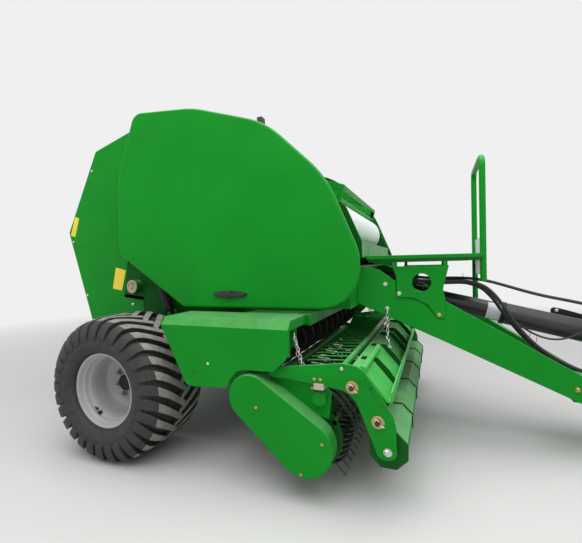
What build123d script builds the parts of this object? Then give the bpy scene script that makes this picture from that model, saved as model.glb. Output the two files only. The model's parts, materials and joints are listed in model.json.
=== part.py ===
from build123d import *
import math
import os

# Round baler, millimetres. X points to the hitch, Y to the machine's left, Z up.
# Every place below is measured from a point on the ground straight under the middle of the axle.
# The finished pieces are shifted along X, so that the row's origin lies under the middle of the machine.

# Bale chamber and tailgate
CHAMBER_HALF = 640
CHAMBER_WALL = 16
SHEET = 12
TAILGATE_HALF = CHAMBER_HALF - SHEET
HINGE_X = -120
HINGE_Z = 2262
HINGE_PIN_R = 16
HINGE_EYE_R = 34
HINGE_PLAY = 0.3
EYE_ROOM = 6
EYE_HALF = 20
EYE_STEP = 130
TAIL_REAR = -996
BALE_R = 600
BALE_X = -130
BALE_Z = 1470
ROLLER_R = 95
FRONT_ROLLER_COUNT = 6
REAR_ROLLER_COUNT = 6

# Wheels
TYRE_R = 458
TYRE_WIDTH = 500
LUG_HEIGHT = 30
LUG_COUNT = 29
LUG_HALF = 20
TYRE_FACETS = 18
BEAD_PLAY = 0.3
RIM_R = 236
RIM_WIDTH = 406
RIM_FLANGE = 14
RIM_WALL = 9
DISC_INSET = 175
DISC_THICK = 14
HUB_R = 82
HUB_CAP_R = 52
SPINDLE_R = 36
HUB_PLAY = 0.5
AXLE_Z = TYRE_R
AXLE_TUBE = 110
RAIL_THICK = 62
RAIL_DEPTH = 137
RAIL_LOW = AXLE_Z + AXLE_TUBE / 2
RAIL_OUT = CHAMBER_HALF + RAIL_THICK
TYRE_ROOM = 28
TRACK_HALF = RAIL_OUT + TYRE_ROOM + TYRE_WIDTH / 2

# Side panels
PANEL_FACE = CHAMBER_HALF + 210
PANEL_SHEET = 5
PANEL_RIM = 30
PANEL_HINGE_Z = 2170
PANEL_HINGE_INSET = 40
PANEL_PIN_R = 8
PANEL_HINGES = (90, 470)
KNUCKLE_R = 17
KNUCKLE = 60

# Pickup
PIVOT_X = 1010
PIVOT_Z = 512
PIVOT_TUBE_R = 42
REEL_X = 1311
REEL_Z = 293
REEL_TIP_R = 280
REEL_BAR_RING = 148
REEL_BAR_R = 13
REEL_DISC_R = 165
REEL_SHAFT_R = 30
TINE = 7
TINE_COUNT = 25
BAND_WIDTH = 44
PICKUP_HALF = PANEL_FACE + 202
PICKUP_PLATE = 12
REEL_HALF = PICKUP_HALF - 67
TINE_PITCH = 2 * (REEL_HALF - 73) / (TINE_COUNT - 1)
CASE_UPPER_R = 125
CASE_LOWER_R = 150
CASE_FACE = PICKUP_HALF + 98
ARM_FACE = PICKUP_HALF + 48
ARM_PLATE = 12
CROP_X = 1718
CROP_Z = 324
CROP_R = 92
CROP_SHAFT_R = 16
CROP_BAND_R = 99
CROP_BAND_WIDTH = 12
CROP_BAND_COUNT = 4
CROP_HALF = ARM_FACE - ARM_PLATE - 16
GUARD_TUBE_X = 1505
GUARD_TUBE_Z = 702
GUARD_TUBE_R = 17
GUARD_PIN_R = 10
GUARD_ROD_R = 5
GUARD_ROD_COUNT = 22
GUARD_ROD_PITCH = 2 * (CROP_HALF - 148) / (GUARD_ROD_COUNT - 1)
GUARD_ROD_LENGTH = 240
HOOD_TUBE_R = 18
HOOD_TUBE_LENGTH = 510

# Side boxes over the pickup drive
BOX_FACE = ARM_FACE + 40
BOX_SHEET = 8
BOX_REAR = 428
BOX_FRONT = 1240
BOX_LOW = 876
BOX_EDGE = 884
BOX_TOP = 928
CHEEK_Y = PICKUP_HALF - 44
CHEEK = 8

# Feed rotor
ROTOR_X = 1010
ROTOR_Z = 725
ROTOR_R = 132
ROTOR_TUBE_R = 60
ROTOR_SHAFT_R = 30
ROTOR_DISC_COUNT = 12
ROTOR_HALF = CHEEK_Y - 13

# Longer than the machine is wide, for what cuts right across it
ACROSS = BOX_FACE + 100

# Chassis and drawbar
HEAD_REAR = 1400
HEAD_FRONT = 1468
HEAD_LOW = 945
HEAD_HIGH = 1205
CROSS_X0 = 1190
CROSS_X1 = 1262
CROSS_Z0 = 862
CROSS_Z1 = 926
HANGER_Y = RAIL_OUT + 78
HANGER = 14
BAR_REAR_HALF = CHAMBER_HALF - 140
BAR_ANGLE = 11.3
BAR_THICK = 70
BAR_END = 2860
HITCH_X = 3330
HITCH_Z = 430
HITCH_EYE_R = 25
HITCH_RING_R = 62
TONGUE_HALF = 55

# Platform
DECK_TOP = 1262
DECK_THICK = 24
DECK_FRONT = 2200
DECK_REAR_HALF = BAR_REAR_HALF
DECK_FRONT_HALF = 300
RAIL_TOP = 1895
RAIL_TUBE_R = 19
RAIL_HALF = DECK_FRONT_HALF - 38
RAIL_FOOT_RIGHT = 1085
RAIL_FOOT_LEFT = 915

# Net wrap
NET_X = 1320
NET_Z = 1472
NET_R = 145
NET_CORE_R = 38
NET_ROLLER_R = 30
NET_ROLLER_SPAN = 100
NET_INNER = CHAMBER_HALF - CHAMBER_WALL
NET_HALF = NET_INNER - 24
TRAY_REAR = 1084
TRAY_FRONT = 1530
TRAY_TOP = 1350
TRAY_LOW = 1250
FRAME_PIVOT_X = 1112
FRAME_PIVOT_Z = 1790
FRAME_PIN_R = 8
FRAME_ARM = 12
FRAME_ARM_Y = NET_INNER - 20
FRAME_EYE = 16

# Drive shaft
SHAFT_REAR_X = 1760
SHAFT_REAR_Z = 992
SHAFT_FRONT_X = 3120
SHAFT_SLOPE = -0.2296
GUARD_R = 63
GUARD_WALL = 6
SLEEVE_R = 71
GUARD_REAR_X = 1800
SLEEVE_REAR_X = 2360
SLEEVE_FRONT_X = 3050
DRIVE_R = 30
YOKE_R = 46
SHAFT_R = 17.5
GEARBOX_FRONT = 1700
GEARBOX_BOSS = 16

# Hose holder
HOLDER_X = 2960
HOLDER_PLATE = 8
HOLDER_LOW = 394
SHELF_TOP = 620
SHELF_LENGTH = 110
COUPLING_R = 13
COUPLING_LENGTH = 110
COLLAR_R = 17
COLLAR_LENGTH = 12
HOSE_START = HEAD_FRONT + 30
HOSE_END = HOLDER_X - 20
HOSE_HEIGHT = SHELF_TOP + 45

# Tailgate cylinders
BARREL_PIN_X = 120
BARREL_PIN_Z = 880
ROD_PIN_X = -240
ROD_PIN_Z = 1960
CYLINDER_Y = CHAMBER_HALF + 50
BARREL_R = 32
ROD_R = 18
EYE_R = 28
EYE_PIN_R = 14
BARREL_LENGTH = 800

# Parking jack
JACK_X = 3010
JACK_Y = 225
JACK_TUBE = 70
JACK_LEG = 56
JACK_PLAY = 0.6
JACK_FOOT_R = 105
JACK_FOOT = 14
JACK_TOP = 980
JACK_LOW = 330
JACK_TRAVEL = 240

REAR_X = TAIL_REAR
FRONT_X = HITCH_X + HITCH_RING_R
MIDDLE_X = (REAR_X + FRONT_X) / 2

parts = {}


def put(name, shape):
    """Keep a finished piece, moved so that X = 0 is the middle of the machine."""
    parts[name] = Pos(-MIDDLE_X, 0, 0) * shape


def mirrored(shape):
    return mirror(shape, Plane.XZ)


def block(x0, x1, y0, y1, z0, z1):
    centre = Pos((x0 + x1) / 2, (y0 + y1) / 2, (z0 + z1) / 2)
    return centre * Box(abs(x1 - x0), abs(y1 - y0), abs(z1 - z0))


def rod(start, end, radius):
    """A round bar from one point to another."""
    a, b = Vector(*start), Vector(*end)
    plane = Plane(origin=a, z_dir=b - a)
    return plane * Cylinder(radius, (b - a).length, align=(Align.CENTER, Align.CENTER, Align.MIN))


def cross_rod(x, z, y0, y1, radius):
    """A round bar along Y."""
    return rod((x, y0, z), (x, y1, z), radius)


def plate(points, y0, y1):
    """A flat plate cut to an outline in X and Z. A row is x, z and, where it is round, the corner's radius."""
    y0, y1 = min(y0, y1), max(y0, y1)
    corners = [(row[0], y0, row[1]) for row in points]
    radii = [row[2] if len(row) > 2 else 0 for row in points]
    if any(radii):
        outline = FilletPolyline(*corners, radius=radii, close=True)
    else:
        outline = Polyline(*corners, close=True)
    return extrude(make_face(outline.edges()), amount=y1 - y0, dir=(0, 1, 0))


def disc_pair(x0, z0, r0, x1, z1, r1, y0, y1):
    """The flat outline of a belt round two wheels, as thick as y0 to y1."""
    gap = math.hypot(x1 - x0, z1 - z0)
    along = math.atan2(z1 - z0, x1 - x0)
    lean = math.acos((r0 - r1) / gap)
    sides = []
    for sign in (1, -1):
        turn = along + sign * lean
        sides.append([(x0 + r0 * math.cos(turn), z0 + r0 * math.sin(turn)),
                      (x1 + r1 * math.cos(turn), z1 + r1 * math.sin(turn))])
    upper, lower = sides
    web = plate([upper[0], upper[1], lower[1], lower[0]], y0, y1)
    return web + cross_rod(x0, z0, y0, y1, r0) + cross_rod(x1, z1, y0, y1, r1)


# Wheel, hub and axle
def ring_about_axle(profile):
    """Turn a closed profile, rows of y and radius, about the axle."""
    corners = [(0, y, AXLE_Z + radius) for y, radius in profile]
    face = make_face(Polyline(*corners, close=True).edges())
    return revolve(face, axis=Axis((0, 0, AXLE_Z), (0, 1, 0)), revolution_arc=360)


def flat(*corners):
    return Face(Wire.make_polygon(corners))


def faceted_ring(middle_y, section):
    """A ring of flat facets about the axle. The section's rows are y from its middle and radius."""
    stretch = 1 / math.cos(math.pi / TYRE_FACETS)
    rings = []
    for y, radius in section:
        reach = radius * stretch if radius <= RIM_R else radius
        turns = [math.tau * (k + 0.5) / TYRE_FACETS for k in range(TYRE_FACETS)]
        rings.append([Vector(reach * math.sin(turn), middle_y + y, AXLE_Z + reach * math.cos(turn))
                      for turn in turns])
    faces = []
    for ring, after in zip(rings, rings[1:] + rings[:1]):
        for k in range(TYRE_FACETS):
            beside = (k + 1) % TYRE_FACETS
            faces.append(flat(ring[k], ring[beside], after[beside], after[k]))
    return Solid(Shell(faces))


# A lug from the tread's middle to the side wall.
# Rows are y from the wheel's middle, top radius, foot radius and lead in radians.
LUG_ROWS = [
    (2, TYRE_R, TYRE_R - LUG_HEIGHT - 12, 0.37),
    (TYRE_WIDTH / 2 - 60, TYRE_R - 5, TYRE_R - LUG_HEIGHT - 24, 0.06),
    (TYRE_WIDTH / 2, TYRE_R - 104, TYRE_R - 140, 0)]
# One lug's corner stands straight under the axle
LUG_START = math.pi - LUG_ROWS[0][3] - LUG_HALF / TYRE_R


def lug(middle_y, hand, start):
    """One bar of the tread, made of flat faces, on the hand -1 or +1 of the tread's middle."""
    rings = []
    for y, top, foot, lead in LUG_ROWS:
        ring = []
        for radius, spread in ((foot, -LUG_HALF), (top, -LUG_HALF), (top, LUG_HALF), (foot, LUG_HALF)):
            turn = start + lead + spread / TYRE_R
            ring.append(Vector(radius * math.sin(turn), middle_y + hand * y, AXLE_Z + radius * math.cos(turn)))
        rings.append(ring)
    faces = [flat(*rings[0]), flat(*rings[-1])]
    for ring, after in zip(rings, rings[1:]):
        for k in range(4):
            beside = (k + 1) % 4
            faces.append(flat(ring[k], ring[beside], after[beside]))
            faces.append(flat(ring[k], after[beside], after[k]))
    return Solid(Shell(faces))


def wheel_pieces(side):
    """Tyre, rim and hub of one wheel, on the side +1 or -1 of Y."""
    half = TYRE_WIDTH / 2
    bead = RIM_WIDTH / 2 - RIM_FLANGE
    seat = RIM_R - RIM_FLANGE
    outer = RIM_WIDTH / 2
    mid = TRACK_HALF
    outer_half = [
        (bead, seat + BEAD_PLAY), (bead, RIM_R), (half - 8, TYRE_R - 130),
        (half - 46, TYRE_R - LUG_HEIGHT - 4)]
    section = [(-y, radius) for y, radius in outer_half] + outer_half[::-1]
    tyre = faceted_ring(side * mid, section)
    lugs = []
    for hand, offset in ((-1, 0), (1, 0.5)):
        for index in range(LUG_COUNT):
            lugs.append(lug(side * mid, hand, LUG_START + math.tau * (index + offset) / LUG_COUNT))
    tyre = tyre.fuse(*lugs)
    disc = mid + outer - DISC_INSET
    rim = ring_about_axle([
        (side * (mid - outer), RIM_R), (side * (mid - outer), seat - RIM_WALL),
        (side * (disc - DISC_THICK), seat - RIM_WALL), (side * (disc - DISC_THICK - 12), 178),
        (side * (disc - DISC_THICK - 40), 130), (side * (disc - DISC_THICK - 40), HUB_R - 20),
        (side * (disc - 40), HUB_R - 20), (side * (disc - 40), 135), (side * (disc - 8), 182),
        (side * (disc + 4), seat - RIM_WALL), (side * (mid + outer), seat - RIM_WALL),
        (side * (mid + outer), RIM_R), (side * (mid + bead), RIM_R), (side * (mid + bead), seat),
        (side * (mid - bead), seat), (side * (mid - bead), RIM_R)])
    face = disc - DISC_THICK - 40
    hub = rod((0, side * (face - 130), AXLE_Z), (0, side * face, AXLE_Z), HUB_R)
    hub += rod((0, side * (face - 130), AXLE_Z), (0, side * (face - 112), AXLE_Z), HUB_R + 40)
    hub += rod((0, side * (face - 20), AXLE_Z), (0, side * face, AXLE_Z), HUB_R + 36)
    hub += rod((0, side * face, AXLE_Z), (0, side * (face + 62), AXLE_Z), HUB_CAP_R)
    bore_end = face - 10
    hub -= rod((0, side * (face - 140), AXLE_Z), (0, side * bore_end, AXLE_Z), SPINDLE_R + HUB_PLAY)
    return tyre, rim, hub, bore_end - 10, face - 130


sides = [("right", -1), ("left", 1)]
for side_name, side in sides:
    tyre, rim, hub, spindle_end, hub_back = wheel_pieces(side)
    put("tyre_" + side_name, tyre)
    put("rim_" + side_name, rim)
    put("hub_" + side_name, hub)

axle = block(-AXLE_TUBE / 2, AXLE_TUBE / 2, -RAIL_OUT + 2, RAIL_OUT - 2, AXLE_Z - AXLE_TUBE / 2, AXLE_Z + AXLE_TUBE / 2)
axle += cross_rod(0, AXLE_Z, -spindle_end, spindle_end, SPINDLE_R)
axle += cross_rod(0, AXLE_Z, -hub_back + 6, hub_back - 6, SPINDLE_R + 16)
put("axle", axle)

# Fixed front half of the bale chamber. Rows are x, z, corner radius.
CHAMBER_BACK = [
    (HINGE_X + 6, HINGE_Z + 10), (-236, 1335), (-328, 1262), (-376, 1016), (-176, 996), (-176, 860), (-232, 640)]
CHAMBER_FRONT = [
    (520, 640), (820, 905), (HEAD_REAR, HEAD_LOW), (HEAD_REAR, TRAY_LOW), (TRAY_FRONT, TRAY_LOW),
    (TRAY_FRONT, TRAY_TOP), (1440, 1560), (1405, 1600), (1090, 1640), (1060, 1840), (760, 2110), (330, 2262)]


def chamber_shell():
    shell = plate(CHAMBER_BACK + CHAMBER_FRONT, -CHAMBER_HALF, CHAMBER_HALF)
    inner = CHAMBER_HALF - CHAMBER_WALL
    hollow = plate(
        [(-600, 2262 - SHEET), (326, 2262 - SHEET), (752, 2110 - SHEET), (1048, 1834), (1072, 1640 - SHEET),
         (1072, TRAY_LOW), (1072, 960), (1120, 900), (600, 500), (-600, 500)],
        -inner, inner)
    tray_space = plate(
        [(1072 + SHEET, TRAY_LOW), (1072 + SHEET, 2000), (1700, 2000), (1700, TRAY_LOW)], -inner, inner)
    front_space = plate([(1084, 960), (1084, TRAY_LOW), (1700, TRAY_LOW), (1700, 900), (1120, 880)], -inner, inner)
    return shell - hollow - tray_space - front_space


EYES = [CHAMBER_HALF - 80 - EYE_STEP * index for index in range(3)]
FIXED_EYES = (-EYES[0], -EYES[2], EYES[2], EYES[0])
LIFTING_EYES = (-EYES[1], EYES[1])


def eye_room(middles):
    """The room that hinge eyes need in the neighbour's sheet."""
    half = EYE_HALF + EYE_ROOM
    return [cross_rod(HINGE_X, HINGE_Z, y - half, y + half, HINGE_EYE_R + EYE_ROOM) for y in middles]


chamber = chamber_shell() - eye_room(LIFTING_EYES)
for y in FIXED_EYES:
    eye = cross_rod(HINGE_X, HINGE_Z, y - EYE_HALF, y + EYE_HALF, HINGE_EYE_R)
    eye += block(HINGE_X, HINGE_X + 90, y - EYE_HALF, y + EYE_HALF, HINGE_Z - SHEET, HINGE_Z + 20)
    chamber += eye
chamber -= cross_rod(HINGE_X, HINGE_Z, -FIXED_EYES[-1] - 30, FIXED_EYES[-1] + 30, HINGE_PIN_R)
chamber += block(690, 730, -330, -270, 2120, 2352)
for y in (-1, 1):
    chamber += cross_rod(-232, 1078, y * CHAMBER_HALF, y * (CHAMBER_HALF + 60), 52)
for side in (-1, 1):
    chamber += block(1062, FRAME_PIVOT_X + 20, side * (FRAME_ARM_Y - 2 - FRAME_EYE), side * (FRAME_ARM_Y - 2),
                     FRAME_PIVOT_Z - 20, FRAME_PIVOT_Z + 20)
chamber -= cross_rod(FRAME_PIVOT_X, FRAME_PIVOT_Z, -FRAME_ARM_Y, FRAME_ARM_Y, FRAME_PIN_R + HINGE_PLAY)
put("chamber_front", chamber)
put("hinge_pin", cross_rod(HINGE_X, HINGE_Z, -FIXED_EYES[-1] - 30, FIXED_EYES[-1] + 30, HINGE_PIN_R))


def roller_set(first, last, count):
    """Steel rollers round the bale, between two directions in degrees."""
    group = []
    ring = BALE_R + ROLLER_R
    for index in range(count):
        turn = math.radians(first + (last - first) * index / (count - 1))
        x, z = BALE_X + ring * math.cos(turn), BALE_Z + ring * math.sin(turn)
        group.append((x, z))
    return group


front_places = roller_set(76, -62, FRONT_ROLLER_COUNT)
rear_places = roller_set(110, 244, REAR_ROLLER_COUNT)
put("chamber_rollers", Compound([
    cross_rod(x, z, -CHAMBER_HALF + CHAMBER_WALL, CHAMBER_HALF - CHAMBER_WALL, ROLLER_R)
    for x, z in front_places]))

# Tailgate. Rows are x, z.
TAIL_OUTLINE = [
    (HINGE_X - 14, HINGE_Z - 8), (-290, 2292), (-655, 2190), (TAIL_REAR, 1541), (-975, 1468), (-757, 800),
    (-420, 640), (-246, 640), (-192, 864), (-192, 968), (-392, 988), (-342, 1276), (-250, 1348)]


def tailgate_shell():
    shell = plate(TAIL_OUTLINE, -TAILGATE_HALF, TAILGATE_HALF)
    inner = TAILGATE_HALF - CHAMBER_WALL
    hollow = plate(
        [(0, HINGE_Z - 60), (HINGE_X - 20, HINGE_Z - 60), (-290, 2292 - 2 * SHEET), (-646, 2180 - SHEET),
         (TAIL_REAR + SHEET, 1538), (-963, 1470), (-748, 808), (-416, 640 + SHEET), (0, 640 + SHEET)],
        -inner, inner)
    return shell - hollow


tailgate = tailgate_shell() - eye_room(FIXED_EYES)
for y in LIFTING_EYES:
    eye = cross_rod(HINGE_X, HINGE_Z, y - EYE_HALF, y + EYE_HALF, HINGE_EYE_R)
    eye += plate([(HINGE_X, HINGE_Z + 30), (-330, 2276), (-330, 2230), (HINGE_X, HINGE_Z - 30)],
                 y - EYE_HALF, y + EYE_HALF)
    tailgate += eye
tailgate -= cross_rod(HINGE_X, HINGE_Z, -CHAMBER_HALF, CHAMBER_HALF, HINGE_PIN_R + HINGE_PLAY)
for side in (-1, 1):
    tailgate += cross_rod(ROD_PIN_X, ROD_PIN_Z, side * TAILGATE_HALF, side * (CYLINDER_Y - 18.4), EYE_R + 4)
put("tailgate", tailgate)
put("tailgate_rollers", Compound([
    cross_rod(x, z, -TAILGATE_HALF + CHAMBER_WALL, TAILGATE_HALF - CHAMBER_WALL, ROLLER_R)
    for x, z in rear_places]))

# Tailgate cylinders: the barrel stands on the chassis, and the rod's eye is on the tailgate's side
def cylinder_pieces(side):
    y = side * CYLINDER_Y
    foot, eye = Vector(BARREL_PIN_X, y, BARREL_PIN_Z), Vector(ROD_PIN_X, y, ROD_PIN_Z)
    along = (eye - foot).normalized()
    mouth = foot + along * BARREL_LENGTH
    barrel = rod(foot + along * EYE_R * 0.8, foot + along * 52, ROD_R)
    barrel += rod(foot + along * 50, mouth, BARREL_R)
    barrel += cross_rod(foot.X, foot.Z, y - 18, y + 18, EYE_R)
    barrel -= cross_rod(foot.X, foot.Z, y - 40, y + 40, EYE_PIN_R)
    barrel -= rod(foot + along * 90, mouth + along * 10, ROD_R + 0.3)
    shaft = rod(foot + along * 120, eye - along * EYE_R * 0.8, ROD_R)
    shaft += cross_rod(eye.X, eye.Z, y - 18, y + 18, EYE_R)
    return barrel, shaft


for side_name, side in sides:
    barrel, shaft = cylinder_pieces(side)
    put("cylinder_barrel_" + side_name, barrel)
    put("cylinder_rod_" + side_name, shaft)

# Side panels, turned in round their edge, hinged along the top. Rows are x, z, corner radius.
PANEL_OUTLINE = [
    (360, 951, 40), (1560, 957, 230), (1551, 1280, 300), (1370, 1720, 700), (1000, 2085, 600),
    (480, 2262, 700), (-20, 2312, 90), (-185, 1880, 500), (-197, 1325, 110)]


def panel(side):
    y = side * PANEL_FACE
    skin = plate(PANEL_OUTLINE, y - side * PANEL_RIM, y)
    inset = []
    middle_x, middle_z = 650, 1560
    for x, z, radius in PANEL_OUTLINE:
        away = math.hypot(x - middle_x, z - middle_z)
        pull = 1.45 * PANEL_SHEET / away
        inset.append((x - (x - middle_x) * pull, z - (z - middle_z) * pull, radius - PANEL_SHEET))
    skin -= plate(inset, y - side * (PANEL_RIM + 5), y - side * PANEL_SHEET)
    hinge_y = y - side * PANEL_HINGE_INSET
    for x in PANEL_HINGES:
        knuckle = rod((x, hinge_y, PANEL_HINGE_Z), (x + KNUCKLE, hinge_y, PANEL_HINGE_Z), KNUCKLE_R)
        knuckle += block(x, x + KNUCKLE, hinge_y, y - side * PANEL_SHEET, PANEL_HINGE_Z - 8, PANEL_HINGE_Z + 8)
        knuckle -= rod((x - 1, hinge_y, PANEL_HINGE_Z), (x + KNUCKLE + 1, hinge_y, PANEL_HINGE_Z), PANEL_PIN_R)
        skin += knuckle
    latch = block(700, 760, y - side * PANEL_SHEET, y - side * 45, 1015, 1065)
    return skin + latch


def panel_carrier(side):
    """Hinge brackets at the top and the catch at the bottom of one side panel."""
    wall = side * CHAMBER_HALF
    hinge_y = side * (PANEL_FACE - PANEL_HINGE_INSET)
    group = []
    for x in PANEL_HINGES:
        start, end = x - 40, x - 3
        arm = block(start, end, wall, hinge_y, PANEL_HINGE_Z - 14, PANEL_HINGE_Z + 14)
        arm += rod((start, hinge_y, PANEL_HINGE_Z), (end, hinge_y, PANEL_HINGE_Z), 14)
        arm += rod((end, hinge_y, PANEL_HINGE_Z), (x + KNUCKLE + 6, hinge_y, PANEL_HINGE_Z), PANEL_PIN_R - 0.3)
        group.append(arm)
    catch_end = side * (PANEL_FACE - 45.3)
    group.append(block(700, 760, wall, catch_end, 1015, 1065))
    return Compound(group)


def panel_latch(side):
    """The long handle low on the panel's face."""
    face = side * PANEL_FACE
    handle = plate([(610, 1020, 8), (858, 1014, 8), (858, 1058, 8), (610, 1065, 8)], face + side * 6, face + side * 20)
    for x in (640, 816):
        handle += block(x, x + 16, face, face + side * 6, 1030, 1050)
    return handle


for side_name, side in sides:
    put("side_panel_" + side_name, panel(side))
    put("panel_hinges_" + side_name, panel_carrier(side))
    put("panel_latch_" + side_name, panel_latch(side))

# Chassis: two rails, a cross tube and the head beam that carries the drawbar
RAIL_OUTLINE = [
    (-120, RAIL_LOW), (600, RAIL_LOW), (850, 880), (HEAD_REAR, HEAD_LOW), (HEAD_REAR, HEAD_LOW + 70), (800, 985),
    (540, RAIL_LOW + RAIL_DEPTH), (-120, RAIL_LOW + RAIL_DEPTH)]
HANGER_REAR, HANGER_ROOT = 560, 642
HANGER_OUTLINE = [
    (HANGER_REAR, RAIL_LOW), (HANGER_ROOT, RAIL_LOW + 87), (800, 640), (900, 560), (PIVOT_X, PIVOT_Z + 58, 30),
    (PIVOT_X + 56, PIVOT_Z, 40), (PIVOT_X, PIVOT_Z - 58, 30), (860, 430), (HANGER_REAR, AXLE_Z)]


def chassis():
    rail = plate(RAIL_OUTLINE, CHAMBER_HALF, RAIL_OUT)
    frame = rail + mirrored(rail)
    frame += block(HEAD_REAR, HEAD_FRONT, -RAIL_OUT, RAIL_OUT, HEAD_LOW, HEAD_HIGH)
    frame += block(CROSS_X0, CROSS_X1, -PANEL_FACE + 6, PANEL_FACE - 6, CROSS_Z0, CROSS_Z1)
    for side in (-1, 1):
        hanger = plate(HANGER_OUTLINE, side * HANGER_Y, side * (HANGER_Y + HANGER))
        hanger += block(HANGER_REAR, HANGER_ROOT, side * RAIL_OUT, side * HANGER_Y, RAIL_LOW, RAIL_LOW + 87)
        hanger -= cross_rod(PIVOT_X, PIVOT_Z, -ACROSS, ACROSS, PIVOT_TUBE_R + HUB_PLAY)
        frame += hanger
        ear_y = side * (CYLINDER_Y - 21)
        ear = plate([(BARREL_PIN_X - 70, RAIL_LOW + RAIL_DEPTH - 2), (BARREL_PIN_X + 70, RAIL_LOW + RAIL_DEPTH - 2),
                     (BARREL_PIN_X + 30, BARREL_PIN_Z + 30, 25),
                     (BARREL_PIN_X - 30, BARREL_PIN_Z + 30, 25)], ear_y, ear_y - side * 14)
        ear += cross_rod(BARREL_PIN_X, BARREL_PIN_Z, ear_y, side * (CYLINDER_Y + 22), EYE_PIN_R - 0.3)
        frame += ear
    return frame


put("chassis", chassis())

# Side boxes over the ends of the pickup: an outer sheet, a top and an inner cheek. Rows are x, z, corner radius.
BOX_OUTLINE = [
    (BOX_REAR, BOX_EDGE), (600, 545, 30), (650, 540, 40), (872, 552), (886, 590, 20), (930, 645, 40), (970, 660, 30),
    (1150, 663, 60), (BOX_FRONT - 4, 740, 80), (BOX_FRONT, BOX_EDGE)]
CHEEK_OUTLINE = [
    (840, BOX_EDGE), (870, 660), (960, 612, 30), (1060, 612, 30), (1150, 690, 30), (BOX_FRONT - 4, 800),
    (BOX_FRONT - 4, BOX_EDGE)]


def side_box(side):
    outer = side * BOX_FACE
    box = plate(BOX_OUTLINE, outer, outer - side * BOX_SHEET)
    box += block(BOX_REAR, BOX_FRONT, outer, side * PANEL_FACE, BOX_LOW, BOX_EDGE)
    box += extrude(make_face(Polyline(
        (BOX_REAR, outer, BOX_EDGE), (BOX_REAR, outer - side * 40, BOX_TOP), (BOX_REAR, side * PANEL_FACE, BOX_TOP),
        (BOX_REAR, side * PANEL_FACE, BOX_EDGE), close=True).edges()), amount=BOX_FRONT - BOX_REAR, dir=(1, 0, 0))
    box += block(840, CROSS_X0, side * PANEL_FACE, side * RAIL_OUT, 900, BOX_TOP)
    box += plate(CHEEK_OUTLINE, side * CHEEK_Y, side * (CHEEK_Y + CHEEK))
    box += block(BOX_FRONT - 6, BOX_FRONT, outer, outer - side * 26, 745, BOX_EDGE)
    reach = CHEEK_Y + CHEEK + 20
    box -= cross_rod(ROTOR_X, ROTOR_Z, -reach, reach, ROTOR_SHAFT_R + HUB_PLAY)
    return box


for side_name, side in sides:
    put("side_box_" + side_name, side_box(side))

# Feed rotor behind the pickup
def feed_rotor():
    rotor = cross_rod(ROTOR_X, ROTOR_Z, -ROTOR_HALF, ROTOR_HALF, ROTOR_TUBE_R)
    rotor += cross_rod(ROTOR_X, ROTOR_Z, -ROTOR_HALF - 30, ROTOR_HALF + 30, ROTOR_SHAFT_R)
    for index in range(ROTOR_DISC_COUNT):
        y = -ROTOR_HALF + 60 + index * (2 * ROTOR_HALF - 120) / (ROTOR_DISC_COUNT - 1)
        rotor += cross_rod(ROTOR_X, ROTOR_Z, y - 4, y + 4, ROTOR_R)
    return rotor


put("feed_rotor", feed_rotor())


# Pickup
def pickup_frame():
    inner = PICKUP_HALF - PICKUP_PLATE
    frame = cross_rod(PIVOT_X, PIVOT_Z, -inner, inner, PIVOT_TUBE_R)
    for side in (-1, 1):
        cheek = disc_pair(PIVOT_X, PIVOT_Z, 72, REEL_X, REEL_Z, 140, side * inner, side * PICKUP_HALF)
        cheek += plate([(1100, 480), (1420, 420), (1440, 560, 30), (1330, 640, 40), (1110, 662), (1060, 560)],
                       side * inner, side * PICKUP_HALF)
        cheek += plate([(960, 480), (985, 300, 20), (1200, 240), (1200, 420)], side * inner, side * PICKUP_HALF)
        cheek += cross_rod(1378, 528, side * PICKUP_HALF, side * (PICKUP_HALF + 30), 36)
        for x in (1125, 1330):
            cheek += block(x, x + 60, side * PICKUP_HALF, side * (ARM_FACE - ARM_PLATE), 618, 658)
        cheek -= cross_rod(REEL_X, REEL_Z, -ACROSS, ACROSS, REEL_SHAFT_R + HUB_PLAY)
        frame += cheek
    return frame


put("pickup_frame", pickup_frame())

ARM_OUTLINE = [
    (1105, 630, 8), (1110, 672, 20), (1220, 690, 60), (1505, 728, 130), (1600, 716, 90), (1756, 480, 160),
    (CROP_X + 42, CROP_Z - 42, 41), (CROP_X - 42, CROP_Z - 42, 41), (1556, 590, 130), (1400, 606, 100), (1220, 624, 60)]


def pickup_arms():
    arms = []
    for side in (-1, 1):
        inner, outer = side * (ARM_FACE - ARM_PLATE), side * ARM_FACE
        arm = plate(ARM_OUTLINE, inner, outer)
        arm -= cross_rod(CROP_X, CROP_Z, -ACROSS, ACROSS, CROP_SHAFT_R + HUB_PLAY)
        arm -= cross_rod(GUARD_TUBE_X, GUARD_TUBE_Z, -ACROSS, ACROSS, GUARD_PIN_R + HINGE_PLAY)
        arm -= plate([(1634, 622), (1652, 634), (1708, 532), (1690, 522)], inner - side * 5, outer + side * 5)
        arms.append(arm)
    return Compound(arms)


put("pickup_arms", pickup_arms())


def chain_case():
    return disc_pair(PIVOT_X + 3, PIVOT_Z + 3, CASE_UPPER_R, REEL_X, REEL_Z, CASE_LOWER_R, -CASE_FACE, -PICKUP_HALF)


put("chain_case", chain_case())


def pickup_hood():
    """Bent sheet between the arms, over the front of the reel."""
    half = ARM_FACE - ARM_PLATE
    outline = [(1530, 690), (1620, 684), (1722, 566), (1734, 566), (1734, 604), (1742, 604), (1742, 552), (1716, 552),
               (1614, 676), (1530, 682)]
    hood = plate(outline, -half, half)
    for side in (-1, 1):
        hood += cross_rod(1606, 683 + HOOD_TUBE_R, side * (half - HOOD_TUBE_LENGTH), side * half, HOOD_TUBE_R)
    return hood


put("pickup_hood", pickup_hood())


def band_places():
    return [(index - (TINE_COUNT - 1) / 2) * TINE_PITCH for index in range(TINE_COUNT)]


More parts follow.
